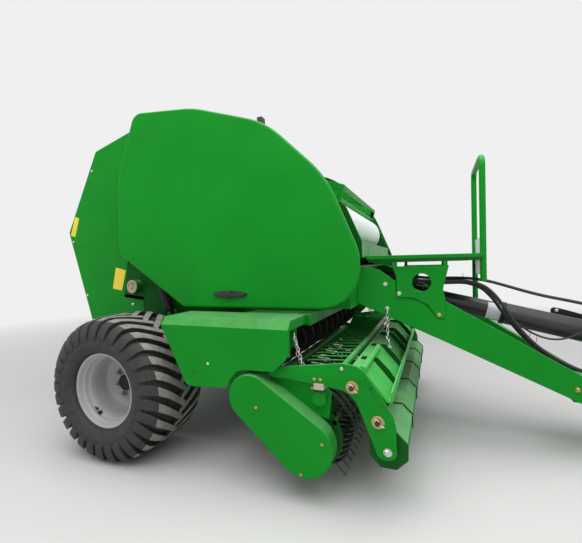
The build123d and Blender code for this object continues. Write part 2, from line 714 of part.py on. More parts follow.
def strippers():
    """Bands round the front of the reel, between the tines, on two cross strips behind it."""
    gap = TINE_PITCH - BAND_WIDTH
    outer = [(1078, 519), (1400, 502, 120), (1534, 332, 130), (1452, 108, 130), (1258, 88, 120), (1008, 322)]
    inner = [(900, 524), (1400, 498, 116), (1530, 331, 126), (1450, 112, 126), (1259, 94, 116), (900, 430)]
    band = plate(outer, 0, BAND_WIDTH) - plate(inner, -5, BAND_WIDTH + 5)
    half = PICKUP_HALF - PICKUP_PLATE
    group = block(1078, 1090, -half, half, 505, 515) + block(1005, 1019, -half, half, 318, 330)
    return group.fuse(*[Pos(0, y + gap / 2, 0) * band for y in band_places()[:-1]])


put("strippers", strippers())


def pickup_reel():
    reel = cross_rod(REEL_X, REEL_Z, -PICKUP_HALF + 2, PICKUP_HALF - 2, REEL_SHAFT_R)
    for y in (-REEL_HALF, 0, REEL_HALF - 8):
        reel += cross_rod(REEL_X, REEL_Z, y, y + 8, REEL_DISC_R)
    for bar in range(4):
        turn = math.radians(35 + 90 * bar)
        bx = REEL_X + REEL_BAR_RING * math.cos(turn)
        bz = REEL_Z + REEL_BAR_RING * math.sin(turn)
        reel += cross_rod(bx, bz, -REEL_HALF, REEL_HALF, REEL_BAR_R)
        length = REEL_TIP_R - REEL_BAR_RING
        tines = []
        for y in band_places():
            tine = Pos(length / 2, 0, 0) * Box(length, TINE, TINE)
            tines.append(Pos(bx, y, bz) * Rot(0, -math.degrees(turn), 0) * tine)
        reel = reel.fuse(*tines)
    return reel


put("pickup_reel", pickup_reel())


def eight_sided(radius):
    turns = [math.radians(22.5 + 45 * index) for index in range(8)]
    return [(CROP_X + radius * math.cos(turn), CROP_Z + radius * math.sin(turn)) for turn in turns]


def crop_roller():
    roller = plate(eight_sided(CROP_R), -CROP_HALF, CROP_HALF)
    for index in range(CROP_BAND_COUNT):
        y = CROP_HALF * (2 * (index + 0.8) / (CROP_BAND_COUNT + 0.6) - 1)
        roller += plate(eight_sided(CROP_BAND_R), y - CROP_BAND_WIDTH / 2, y + CROP_BAND_WIDTH / 2)
    roller += cross_rod(CROP_X, CROP_Z, -ARM_FACE - 14, ARM_FACE + 14, CROP_SHAFT_R)
    return roller


put("crop_roller", crop_roller())


def windguard():
    guard = cross_rod(GUARD_TUBE_X, GUARD_TUBE_Z, -ARM_FACE + ARM_PLATE + 1, ARM_FACE - ARM_PLATE - 1, GUARD_TUBE_R)
    guard += cross_rod(GUARD_TUBE_X, GUARD_TUBE_Z, -ARM_FACE - 6, ARM_FACE + 6, GUARD_PIN_R)
    rods = []
    for index in range(GUARD_ROD_COUNT):
        y = (index - (GUARD_ROD_COUNT - 1) / 2) * GUARD_ROD_PITCH
        rods.append(rod((GUARD_TUBE_X, y, GUARD_TUBE_Z - 8), (GUARD_TUBE_X - GUARD_ROD_LENGTH, y, GUARD_TUBE_Z - 22),
                        GUARD_ROD_R))
    return guard.fuse(*rods)


put("windguard", windguard())


# Drawbar: two arms that lean towards each other, and a front block. Rows are x, z along the machine.
ARM_SIDE = [
    (HEAD_FRONT, 1195), (1560, 1187), (1610, 1170), (1700, 1100), (1990, 971), (2725, 527), (BAR_END, 445),
    (BAR_END, 318), (2725, 360), (1990, 715), (1720, 840), (1540, 925), (HEAD_FRONT, 960)]
BRACKET_SIDE = [
    (1682, 1191), (1706, 1133, 30), (1710, 1038), (1703, 993), (1800, 994, 60), (1890, 950, 60), (1943, 866, 20),
    (1988, 863), (1992, 978), (1979, 1045, 60), (2015, 1191)]
BRACKET_PLATE = 8
LEAN = math.tan(math.radians(BAR_ANGLE))


def leaning(rows, side, depth0, depth1):
    """A plate like an arm of the drawbar: its outline is given along X, and it leans in towards the front."""
    stretch = 1 / math.cos(math.radians(BAR_ANGLE))
    flat = [((row[0] - HEAD_FRONT) * stretch, *row[1:]) for row in rows]
    piece = plate(flat, depth0 * side, depth1 * side)
    return Pos(HEAD_FRONT, side * BAR_REAR_HALF, 0) * Rot(0, 0, -side * BAR_ANGLE) * piece


def drawbar():
    bar = None
    for side in (-1, 1):
        arm = leaning(ARM_SIDE, side, -BAR_THICK, 0)
        arm -= block(HEAD_FRONT - 100, HEAD_FRONT, -ACROSS, ACROSS, 800, 1300)
        arm -= block(BAR_END, BAR_END + 200, -ACROSS, ACROSS, 200, 600)
        bar = arm if bar is None else bar + arm
    nose = BAR_END - 160
    half = BAR_REAR_HALF - (nose - HEAD_FRONT) * LEAN - BAR_THICK
    bar += block(nose, BAR_END, -half, half, 345, 445)
    return bar


put("drawbar", drawbar())


def platform_brackets():
    group = []
    for side in (-1, 1):
        bracket = leaning(BRACKET_SIDE, side, 0, BRACKET_PLATE)
        centre_y = side * (BAR_REAR_HALF - (1857 - HEAD_FRONT) * LEAN)
        bracket -= rod((1857, centre_y - 60, 1087), (1857, centre_y + 60, 1087), 56)
        for x in (1690, 1985):
            y = side * (BAR_REAR_HALF - (x - HEAD_FRONT) * LEAN)
            bracket += block(x, x + 24, y - side * 10, y + side * 4, 1180, DECK_TOP - DECK_THICK)
        group.append(bracket)
    return Compound(group)


put("platform_brackets", platform_brackets())

tongue = block(BAR_END, BAR_END + 16, -120, 120, 330, 450)
tongue += block(BAR_END + 16, HITCH_X - 50, -TONGUE_HALF, TONGUE_HALF, HITCH_Z - 36, HITCH_Z + 14)
tongue += rod((HITCH_X, 0, HITCH_Z - 20), (HITCH_X, 0, HITCH_Z + 20), HITCH_RING_R)
tongue += block(HITCH_X - 70, HITCH_X - 30, -34, 34, HITCH_Z - 20, HITCH_Z + 14)
tongue -= rod((HITCH_X, 0, HITCH_Z - 60), (HITCH_X, 0, HITCH_Z + 60), HITCH_EYE_R)
put("hitch_tongue", tongue)

# Platform
deck = extrude(make_face(Polyline(
    (TRAY_FRONT, -DECK_REAR_HALF, DECK_TOP - DECK_THICK), (DECK_FRONT, -DECK_FRONT_HALF, DECK_TOP - DECK_THICK),
    (DECK_FRONT, DECK_FRONT_HALF, DECK_TOP - DECK_THICK), (TRAY_FRONT, DECK_REAR_HALF, DECK_TOP - DECK_THICK),
    close=True).edges()), amount=DECK_THICK, dir=(0, 0, 1))
rail_x = DECK_FRONT + RAIL_TUBE_R
for y in (-RAIL_HALF, RAIL_HALF):
    deck += block(DECK_FRONT - 10, rail_x, y - 32, y + 32, DECK_TOP - DECK_THICK, DECK_TOP)
    deck -= rod((rail_x, y, DECK_TOP - 100), (rail_x, y, DECK_TOP + 10), RAIL_TUBE_R)
put("platform_deck", deck)

rail_path = FilletPolyline(
    (rail_x, -RAIL_HALF, RAIL_FOOT_RIGHT), (rail_x, -RAIL_HALF, RAIL_TOP - RAIL_TUBE_R),
    (rail_x, RAIL_HALF, RAIL_TOP - RAIL_TUBE_R), (rail_x, RAIL_HALF, RAIL_FOOT_LEFT), radius=70)
rail_section = Plane(origin=(rail_x, -RAIL_HALF, RAIL_FOOT_RIGHT), z_dir=(0, 0, 1)) * Circle(RAIL_TUBE_R)
put("guard_rail", sweep(rail_section, path=rail_path))
rail_plate = block(rail_x, rail_x + 4, -RAIL_HALF, RAIL_HALF, 1120, 1370)
for y in (-RAIL_HALF, RAIL_HALF):
    rail_plate -= rod((rail_x, y, 1100), (rail_x, y, 1400), RAIL_TUBE_R)
put("rail_plate", rail_plate)

# Net wrap
tray = block(TRAY_REAR, TRAY_FRONT, -NET_INNER, NET_INNER, TRAY_LOW, TRAY_LOW + SHEET)
tray += block(TRAY_FRONT - SHEET, TRAY_FRONT, -NET_INNER, NET_INNER, TRAY_LOW, TRAY_TOP)
put("net_tray", tray)
net_drop = math.sqrt((NET_R + NET_ROLLER_R + 0.3) ** 2 - NET_ROLLER_SPAN ** 2)
net_rods = [cross_rod(NET_X + dx, NET_Z - net_drop, -NET_INNER, NET_INNER, NET_ROLLER_R)
            for dx in (-NET_ROLLER_SPAN, NET_ROLLER_SPAN)]
net_rods.append(cross_rod(NET_X, NET_Z, -NET_INNER, NET_INNER, NET_CORE_R))
put("net_rollers", Compound(net_rods))
put("net_roll", cross_rod(NET_X, NET_Z, -NET_HALF, NET_HALF, NET_R)
    - cross_rod(NET_X, NET_Z, -NET_HALF - 5, NET_HALF + 5, NET_CORE_R))


def net_frame():
    frame = plate([(1394, 1712), (1424, 1704), (1418, 1682), (1388, 1690)], -FRAME_ARM_Y, FRAME_ARM_Y)
    frame += cross_rod(1392, 1622, -FRAME_ARM_Y, FRAME_ARM_Y, 9)
    for side in (-1, 1):
        arm = plate([(FRAME_PIVOT_X - 22, FRAME_PIVOT_Z + 18, 14), (FRAME_PIVOT_X, FRAME_PIVOT_Z + 24),
                     (1424, 1706), (1400, 1608), (1376, 1614), (1388, 1664), (FRAME_PIVOT_X - 22, FRAME_PIVOT_Z - 22)],
                    side * FRAME_ARM_Y, side * (FRAME_ARM_Y + FRAME_ARM))
        frame += arm + cross_rod(FRAME_PIVOT_X, FRAME_PIVOT_Z, side * (FRAME_ARM_Y - 2 - FRAME_EYE),
                                 side * FRAME_ARM_Y, FRAME_PIN_R)
    return frame


put("net_frame", net_frame())
# Gearbox and drive shaft
shaft_dir = Vector(1, 0, SHAFT_SLOPE).normalized()


def on_shaft(x):
    return (x, 0, SHAFT_REAR_Z + SHAFT_SLOPE * (x - SHAFT_REAR_X))


boss_front = GEARBOX_FRONT + GEARBOX_BOSS
boss_z = SHAFT_REAR_Z + 13
gearbox = block(HEAD_FRONT, GEARBOX_FRONT, -130, 130, 890, 1120)
gearbox += rod((GEARBOX_FRONT, 0, boss_z), (boss_front, 0, boss_z), 98)
gearbox += rod((boss_front, 0, boss_z), (boss_front + 26, 0, boss_z), 22)
put("gearbox", gearbox)

guard = rod(on_shaft(GUARD_REAR_X), on_shaft(SLEEVE_REAR_X), GUARD_R)
guard += rod(on_shaft(SLEEVE_REAR_X), on_shaft(SLEEVE_FRONT_X), SLEEVE_R)
guard -= rod(on_shaft(GUARD_REAR_X - 100), on_shaft(SLEEVE_FRONT_X + 50), GUARD_R - GUARD_WALL)
for x in (GUARD_REAR_X + 30, SLEEVE_FRONT_X - 30):
    ring = rod(on_shaft(x - 12), on_shaft(x + 12), GUARD_R - GUARD_WALL + 1)
    guard += ring - rod(on_shaft(x - 20), on_shaft(x + 20), DRIVE_R + HUB_PLAY)
bell = loft([Plane(origin=(boss_front + 1, 0, boss_z - 2), z_dir=(1, 0, SHAFT_SLOPE / 2)) * Circle(96),
             Plane(origin=on_shaft(GUARD_REAR_X + 12), z_dir=shaft_dir) * Circle(GUARD_R)])
bell_space = loft([Plane(origin=(boss_front - 8, 0, boss_z), z_dir=(1, 0, SHAFT_SLOPE / 2)) * Circle(90),
                   Plane(origin=on_shaft(GUARD_REAR_X + 18), z_dir=shaft_dir) * Circle(GUARD_R - GUARD_WALL)])
guard += bell - bell_space
guard -= block(boss_front - 100, boss_front, -200, 200, 800, 1300)
put("shaft_guard", guard)

shaft = rod(on_shaft(GUARD_REAR_X - 35), on_shaft(SLEEVE_FRONT_X + 10), DRIVE_R)
shaft += rod(on_shaft(SLEEVE_FRONT_X + 10), on_shaft(SHAFT_FRONT_X + 40), YOKE_R)
shaft -= rod(on_shaft(SHAFT_FRONT_X - 40), on_shaft(SHAFT_FRONT_X + 60), SHAFT_R)
put("drive_shaft", shaft)

stand = block(2950, 2990, -22, 22, HITCH_Z + 14, 630)
stand += block(2950, 2990, -SLEEVE_R - 14, SLEEVE_R + 14, 600, 700)
stand -= rod(on_shaft(2900), on_shaft(3040), SLEEVE_R)
put("shaft_stand", stand)

# Hoses from the head beam to the holder beside the tongue, where their couplings are parked.
# Each row is a route's name and radius; its points are x, y, z. An end in the shelf points down.
HOSES = {
    "hose_upper": (10, [
        (HOSE_START, -244, 1150), (1600, -244, 1150), (1710, -227, 1134), (1820, -190, 1112), (1930, -150, 1102),
        (2040, -115, 1102), (2150, -95, 1098), (2260, -85, 1080), (2370, -82, 1045), (2480, -84, 1008),
        (2590, -88, 977), (2700, -92, 954), (2800, -98, 930), (2880, -106, 903), (2950, -115, 858),
        (3006, -124, 795), (3036, -130, 730), (3036, -130, HOSE_HEIGHT)]),
    "hose_outer": (11, [
        (HOSE_START, -300, 1120), (1600, -300, 1120), (1710, -287, 1106), (1820, -262, 1092), (1930, -232, 1085),
        (2040, -200, 1086), (2145, -172, 1080), (2235, -158, 1050), (2300, -152, 985), (2350, -150, 905),
        (2400, -150, 820), (2456, -150, 740), (2522, -150, 668), (2602, -149, 606), (2690, -147, 554),
        (2780, -144, 520), (2868, -140, 500), (HOSE_END, -140, 500)]),
    "hose_inner": (11, [
        (HOSE_START, -272, 1120), (1600, -272, 1120), (1710, -258, 1104), (1820, -232, 1089), (1930, -204, 1081),
        (2040, -172, 1082), (2140, -146, 1070), (2225, -131, 1034), (2288, -126, 968), (2333, -125, 888),
        (2390, -122, 805), (2448, -121, 728), (2515, -120, 658), (2596, -118, 597), (2686, -116, 548),
        (2776, -114, 517), (2866, -112, 500), (HOSE_END, -112, 500)]),
    "hose_thin": (6, [
        (HOSE_START, -225, 1095), (1585, -225, 1095), (1675, -213, 1084), (1765, -196, 1070), (1855, -178, 1066),
        (1945, -158, 1064), (2035, -138, 1066), (2120, -119, 1066), (2195, -108, 1050), (2250, -103, 1002),
        (2300, -101, 940), (2352, -100, 878), (2412, -100, 815), (2480, -101, 758), (2555, -103, 718),
        (2630, -106, 704), (2705, -110, 722), (2775, -114, 765), (2840, -118, 800), (2900, -122, 812),
        (2950, -126, 790), (2984, -130, 735), (2984, -130, HOSE_HEIGHT)]),
}


def hose(points, radius):
    """A hose of straight runs joined by arcs as large as the runs allow. It returns the tube and its radii."""
    spots = [Vector(*point) for point in points]
    bends = []
    for before, corner, after in zip(spots, spots[1:], spots[2:]):
        back, ahead = corner - before, after - corner
        half_turn = math.radians(back.get_angle(ahead)) / 2
        bends.append(0.45 * min(back.length, ahead.length) / math.tan(half_turn))
    path = FilletPolyline(*spots, radius=bends)
    section = Plane(origin=spots[0], z_dir=spots[1] - spots[0]) * Circle(radius)
    tube = sweep(section, path=path)
    print("radii", [round(bend) for bend in bends], "length", round(path.length), "volume share",
          round(tube.volume / (math.pi * radius ** 2 * path.length), 4))
    return tube


fittings = []
couplings = []
holder = block(HOLDER_X, HOLDER_X + HOLDER_PLATE, -180, -90, HOLDER_LOW, SHELF_TOP)
holder += block(HOLDER_X, HOLDER_X + HOLDER_PLATE, -90, -TONGUE_HALF, HOLDER_LOW, HITCH_Z + 14)
holder += block(HOLDER_X, HOLDER_X + SHELF_LENGTH, -165, -95, SHELF_TOP - HOLDER_PLATE, SHELF_TOP)
for name, (radius, points) in HOSES.items():
    put(name, hose(points, radius))
    start, end = points[0], points[-1]
    fittings.append(rod((HEAD_FRONT, *start[1:]), start, radius + 4))
    tip = Vector(*end)
    if tip.Z > SHELF_TOP:
        pushed = Vector(0, 0, -1)
        seat = tip + pushed * (tip.Z - SHELF_TOP)
    else:
        pushed = Vector(1, 0, 0)
        seat = tip + pushed * (HOLDER_X - tip.X)
    couplings.append(rod(tip, tip + pushed * COUPLING_LENGTH, COUPLING_R)
                     + rod(seat - pushed * COLLAR_LENGTH, seat, COLLAR_R))
    holder -= rod(seat - pushed * 5, seat + pushed * (HOLDER_PLATE + 5), COUPLING_R + HINGE_PLAY)
put("hose_fittings", Compound(fittings))
put("hose_couplings", Compound(couplings))
put("hose_holder", holder)

# Parking jack
jack = block(JACK_X - JACK_TUBE / 2, JACK_X + JACK_TUBE / 2, JACK_Y - JACK_TUBE / 2, JACK_Y + JACK_TUBE / 2,
             JACK_LOW, JACK_TOP)
jack_bore = JACK_LEG + 2 * JACK_PLAY
jack -= block(JACK_X - jack_bore / 2, JACK_X + jack_bore / 2, JACK_Y - jack_bore / 2, JACK_Y + jack_bore / 2,
              JACK_LOW - 10, JACK_TOP - 12)
jack += block(BAR_END + 16, JACK_X - JACK_TUBE / 2, 70, JACK_Y + 20, 350, 440)
jack -= block(BAR_END, BAR_END + 16, -200, 120, 300, 500)
jack += block(BAR_END, BAR_END + 16, 120, JACK_Y + 20, 350, 440)
put("jack_tube", jack)
leg = block(JACK_X - JACK_LEG / 2, JACK_X + JACK_LEG / 2, JACK_Y - JACK_LEG / 2, JACK_Y + JACK_LEG / 2,
            JACK_FOOT, JACK_TOP - 40 - JACK_TRAVEL)
leg += rod((JACK_X, JACK_Y, 0), (JACK_X, JACK_Y, JACK_FOOT), JACK_FOOT_R)
put("jack_leg", leg)

os.makedirs("parts", exist_ok=True)
for name, shape in parts.items():
    export_step(shape, "parts/" + name + ".step")

for name, shape in parts.items():
    print(name, len(shape.solids()), round(shape.volume / 1e6, 1), shape.is_valid)
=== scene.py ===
import json
import math

import bmesh
import bpy
from mathutils import Matrix, Vector
from mathutils.bvhtree import BVHTree


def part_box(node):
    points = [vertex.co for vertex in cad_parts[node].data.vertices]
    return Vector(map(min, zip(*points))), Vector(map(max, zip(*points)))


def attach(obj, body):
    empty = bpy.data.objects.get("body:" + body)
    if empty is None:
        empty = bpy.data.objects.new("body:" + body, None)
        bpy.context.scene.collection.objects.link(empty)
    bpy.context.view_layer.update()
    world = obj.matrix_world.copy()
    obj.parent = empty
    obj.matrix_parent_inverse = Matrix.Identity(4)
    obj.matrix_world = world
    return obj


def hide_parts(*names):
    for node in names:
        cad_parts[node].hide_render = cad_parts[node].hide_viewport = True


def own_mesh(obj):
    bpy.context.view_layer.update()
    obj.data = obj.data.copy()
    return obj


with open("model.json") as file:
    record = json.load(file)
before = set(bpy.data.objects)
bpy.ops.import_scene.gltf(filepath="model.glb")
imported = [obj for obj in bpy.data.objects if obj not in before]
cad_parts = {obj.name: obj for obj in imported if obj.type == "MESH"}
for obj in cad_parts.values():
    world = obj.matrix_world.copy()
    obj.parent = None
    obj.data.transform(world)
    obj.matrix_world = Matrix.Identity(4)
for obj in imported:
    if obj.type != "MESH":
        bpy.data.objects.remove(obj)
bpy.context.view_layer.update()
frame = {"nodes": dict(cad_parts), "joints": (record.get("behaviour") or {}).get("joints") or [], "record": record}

# Places are in metres, X forward from the wheels' axle, Y to the machine's left, Z up from the ground.
JOINTS = {joint["name"]: joint for joint in frame["joints"]}
SIDES = (("right", -1), ("left", 1))
BOTH = (-1, 1)
LEFTWARD, UPWARD = Vector((0, 1, 0)), Vector((0, 0, 1))


def pivot(joint):
    """The place in the part's frame that a joint turns about."""
    return Vector(JOINTS[joint]["pos_m"])


AXLE_X, TRACK, AXLE_Z = pivot("wheel_left_spin")


def at(x, y, z):
    """A place measured from the axle, as a place in the part's frame."""
    return Vector((x + AXLE_X, y, z))


def across(side, inner, outer):
    """Two distances from the middle of the machine, as rising Y values on one side of it."""
    return sorted((side * inner, side * outer))


# Camera: the photograph's place and angle, for a picture of 582 x 543
PICTURE_WIDTH = 582
FOCAL = 361.1
SENSOR_WIDTH = 36
YAW, PITCH, ROLL = math.radians(21.84), math.radians(1.01), math.radians(-1.38)
CAMERA_PLACE = (1.94, -2.823, 1.215)
NEAREST, FARTHEST = 0.05, 200


def make_camera():
    """A camera at its place, turned by the yaw, the pitch and the roll."""
    level_reach = math.cos(PITCH)
    forward = Vector((-math.sin(YAW) * level_reach, math.cos(YAW) * level_reach, -math.sin(PITCH)))
    level = Vector((math.cos(YAW), math.sin(YAW), 0))
    above = level.cross(forward)
    right = math.cos(ROLL) * level + math.sin(ROLL) * above
    up = math.cos(ROLL) * above - math.sin(ROLL) * level
    turn = Matrix((right, up, -forward)).transposed().to_4x4()
    data = bpy.data.cameras.new("camera")
    data.sensor_width = SENSOR_WIDTH
    data.lens = FOCAL * SENSOR_WIDTH / PICTURE_WIDTH
    data.clip_start = NEAREST
    data.clip_end = FARTHEST
    camera = bpy.data.objects.new("camera", data)
    bpy.context.scene.collection.objects.link(camera)
    camera.matrix_world = Matrix.Translation(at(*CAMERA_PLACE)) @ turn
    bpy.context.scene.camera = camera


make_camera()


# Materials
class Nodes:
    """A small helper that builds one material's node tree."""

    def __init__(self, name):
        self.material = bpy.data.materials.new(name)
        self.material.use_nodes = True
        self.tree = self.material.node_tree
        self.shader = self.tree.nodes["Principled BSDF"]
        self.place = self.new("ShaderNodeTexCoord").outputs["Object"]

    def new(self, kind, **settings):
        """Add a node and give it its settings."""
        node = self.tree.nodes.new(kind)
        for key, value in settings.items():
            setattr(node, key, value)
        return node

    def link(self, source, target):
        self.tree.links.new(source, target)

    def noise(self, scale, detail, rough=0.55, stretch=(1, 1, 1)):
        """A noise over the piece's own coordinates, in features per metre."""
        spot = self.new("ShaderNodeMapping")
        spot.inputs["Scale"].default_value = stretch
        self.link(self.place, spot.inputs["Vector"])
        node = self.new("ShaderNodeTexNoise")
        for key, number in (("Scale", scale), ("Detail", detail), ("Roughness", rough)):
            node.inputs[key].default_value = number
        self.link(spot.outputs["Vector"], node.inputs["Vector"])
        return node.outputs["Fac"]

    def ranged(self, value, low, high, to_low, to_high):
        """Spread a value's range over another one, and hold it there."""
        node = self.new("ShaderNodeMapRange", clamp=True)
        for key, number in (("From Min", low), ("From Max", high), ("To Min", to_low), ("To Max", to_high)):
            node.inputs[key].default_value = number
        self.link(value, node.inputs["Value"])
        return node.outputs["Result"]

    def roughness(self, value, least, most):
        """Spread the middle of a noise over a range of roughness."""
        return self.ranged(value, 0.3, 0.7, least, most)

    def mix(self, factor, first, second):
        """Blend two colours, each a tuple or a socket."""
        node = self.new("ShaderNodeMix", data_type="RGBA")
        self.link(factor, node.inputs["Factor"])
        for socket, colour in ((node.inputs[6], first), (node.inputs[7], second)):
            if isinstance(colour, tuple):
                socket.default_value = (*colour, 1)
            else:
                self.link(colour, socket)
        return node.outputs[2]

    def upness(self):
        """How far a surface faces up, from -1 to 1."""
        split = self.new("ShaderNodeSeparateXYZ")
        self.link(self.new("ShaderNodeNewGeometry").outputs["Normal"], split.inputs[0])
        return split.outputs["Z"]

    def times(self, first, second):
        node = self.new("ShaderNodeMath", operation="MULTIPLY")
        self.link(first, node.inputs[0])
        self.link(second, node.inputs[1])
        return node.outputs[0]

    def bump(self, height, strength, distance, after=None):
        """Roughen the surface by a noise, on top of another bump where there is one."""
        node = self.new("ShaderNodeBump")
        node.inputs["Strength"].default_value = strength
        node.inputs["Distance"].default_value = distance
        self.link(height, node.inputs["Height"])
        if after is not None:
            self.link(after, node.inputs["Normal"])
        return node.outputs["Normal"]

    def set(self, **values):
        """Give the shader's sockets their values or links, and give the finished material back."""
        for key, value in values.items():
            socket = self.shader.inputs[key.replace("_", " ")]
            if hasattr(value, "links"):
                self.link(value, socket)
            else:
                socket.default_value = (*value, 1) if isinstance(value, tuple) else value
        return self.material


# The pale green that faces looking up are mixed towards: partly dust, partly a painted sheen of the sky
ENAMEL_DUST_AND_SHEEN = (0.34, 0.60, 0.34)
TYRE_BLACK, ROAD_DUST = (0.026, 0.025, 0.025), (0.36, 0.345, 0.31)


def paint(name, colour, dust, rough=0.34, coat=0.0):
    """Sprayed enamel: slight cloudiness, orange peel, and on top a pale green that is partly dust and partly
    painted sheen.
    """
    made = Nodes(name)
    cloud = made.ranged(made.noise(2.2, detail=2), 0.35, 0.65, 0.0, 1.0)
    darker = tuple(value * 0.90 for value in colour)
    base = made.mix(cloud, darker, colour)
    # Faces that look up turn paler, partly from dust and partly from painted sheen of the light above; the dust
    # argument sets how much
    up_dust_and_sheen = made.ranged(made.upness(), 0.3, 1.0, 0.0, 1.0)
    dust_and_sheen_spots = made.ranged(made.noise(9.0, detail=5, rough=0.7), 0.35, 0.75, dust * 0.8, dust * 1.8)
    base = made.mix(made.times(up_dust_and_sheen, dust_and_sheen_spots), base, ENAMEL_DUST_AND_SHEEN)
    peel = made.bump(made.noise(420.0, detail=2), strength=0.05, distance=0.0004)
    wave = made.bump(made.noise(14.0, detail=1), strength=0.06, distance=0.004, after=peel)
    gloss = made.roughness(made.noise(6.0, detail=4), rough - 0.05, rough + 0.07)
    return made.set(Base_Color=base, Roughness=gloss, Normal=wave, Coat_Weight=coat, Coat_Roughness=0.12,
                    Specular_IOR_Level=0.10)


def metal(name, colour, rough, grain=(1, 1, 30), metallic=1.0, tarnish=0.2):
    """Rolled, plated or polished metal: streaks along its grain and darker tarnish in spots."""
    made = Nodes(name)
    spots = made.ranged(made.noise(18.0, detail=5, rough=0.65), 0.35, 0.7, 0.0, tarnish)
    base = made.mix(spots, colour, tuple(value * 0.45 for value in colour))
    streaks = made.noise(60.0, detail=3, rough=0.6, stretch=grain)
    gloss = made.roughness(streaks, rough - 0.08, rough + 0.12)
    normal = made.bump(streaks, strength=0.08, distance=0.0005)
    return made.set(Base_Color=base, Roughness=gloss, Metallic=metallic, Normal=normal)


def plastic(name, colour, rough, fleck=0.15):
    """Moulded plastic, film or a printed label: fine grain and paler flecks."""
    made = Nodes(name)
    cloud = made.ranged(made.noise(7.0, detail=4, rough=0.6), 0.3, 0.7, 0.0, fleck)
    paler = tuple(min(1.0, value * 1.8 + 0.02) for value in colour)
    gloss = made.roughness(made.noise(12.0, detail=3), rough - 0.06, rough + 0.08)
    normal = made.bump(made.noise(300.0, detail=2), strength=0.12, distance=0.0004)
    return made.set(Base_Color=made.mix(cloud, colour, paler), Roughness=gloss, Normal=normal,
                    Specular_IOR_Level=0.45)


def rubber(name, clean, dusty):
    """Tyre rubber: near black with pale road dust, from its share on clean spots to that on dusty ones."""
    made = Nodes(name)
    dust = made.ranged(made.noise(26.0, detail=6, rough=0.7), 0.35, 0.72, clean, dusty)
    base = made.mix(dust, TYRE_BLACK, ROAD_DUST)
    coarse = made.bump(made.noise(30.0, detail=4), strength=0.15, distance=0.002)
    fine = made.bump(made.noise(380.0, detail=3, rough=0.6), strength=0.25, distance=0.0006, after=coarse)
    return made.set(Base_Color=base, Roughness=made.ranged(dust, 0.0, 0.6, 0.62, 0.85), Normal=fine,
                    Specular_IOR_Level=0.35)


# Every look, under the part's material slot that it belongs to
LOOKS = {
    "green_paint": {
        "green": paint("green enamel", (0.005, 0.250, 0.017), dust=0.24),
        # A darker copy of the green: painted shade on the chamber front's sideways faces
        "green_side_shade": paint("green enamel in painted shade", (0.003, 0.095, 0.009), rough=0.45, dust=0.1),
        # A darker copy of the green, for painted shade where parts lie in shadow
        "green_dark": paint("shaded green enamel", (0.006, 0.085, 0.010), rough=0.45, dust=0.1),
        # The crop roller's green, with more dust and painted sheen on faces that look up
        "dusty": paint("dusty green enamel with painted sheen", (0.030, 0.26, 0.045), rough=0.5, dust=0.45),
        # A brighter copy of the green: painted light from above on the hood, with dust and sheen on top
        "hood": paint("hood enamel with dust and painted light", (0.030, 0.46, 0.055), rough=0.42, dust=0.26),
        "beige": paint("beige paint", (0.50, 0.42, 0.30), dust=0.02),
    },
    "silver_paint": {"silver": paint("wheel silver", (0.42, 0.42, 0.43), dust=0.0, coat=0.2)},
    "black_paint": {"black": paint("black enamel", (0.012, 0.012, 0.013), rough=0.4, dust=0.03, coat=0.2)},
    "dark_steel": {
        "steel": metal("dull steel", (0.30, 0.29, 0.28), 0.42),
        "dark_steel": metal("dark rolled steel", (0.075, 0.072, 0.07), 0.5, tarnish=0.5),
        "band": metal("stripper steel", (0.05, 0.075, 0.05), 0.5, metallic=0.6, tarnish=0.5),
    },
    "zinc_fitting": {
        "zinc": metal("zinc plate", (0.62, 0.62, 0.60), 0.28, tarnish=0.3),
        "brass_zinc": metal("yellow zinc plate", (0.55, 0.40, 0.16), 0.35, tarnish=0.5),
        "label_red": plastic("red dust ring", (0.35, 0.02, 0.015), 0.45, fleck=0.08),
    },
    "pale_plate": {
        "plate": metal("bare plate", (0.60, 0.63, 0.60), 0.38, grain=(1, 30, 1), metallic=0.7),
        "label_white": plastic("white label", (0.66, 0.68, 0.70), 0.35, fleck=0.08),
        "label_yellow": plastic("yellow label", (0.85, 0.66, 0.04), 0.35, fleck=0.08),
    },
    "chrome_rod": {"chrome": metal("chrome rod", (0.72, 0.73, 0.75), 0.12, grain=(1, 1, 1), tarnish=0.05)},
    "black_plastic": {"guard": plastic("black guard plastic", (0.018, 0.018, 0.019), 0.38)},
    "black_rubber": {"hose": plastic("hose rubber", (0.014, 0.014, 0.015), 0.55)},
    "white_film": {"film": plastic("white net wrap", (0.84, 0.87, 0.88), 0.42, fleck=0.05)},
    "tyre_rubber": {"tyre": rubber("tyre wall", 0.0, 0.06), "tread": rubber("tyre tread", 0.45, 0.85)},
}
M = {look: material for looks in LOOKS.values() for look, material in looks.items()}

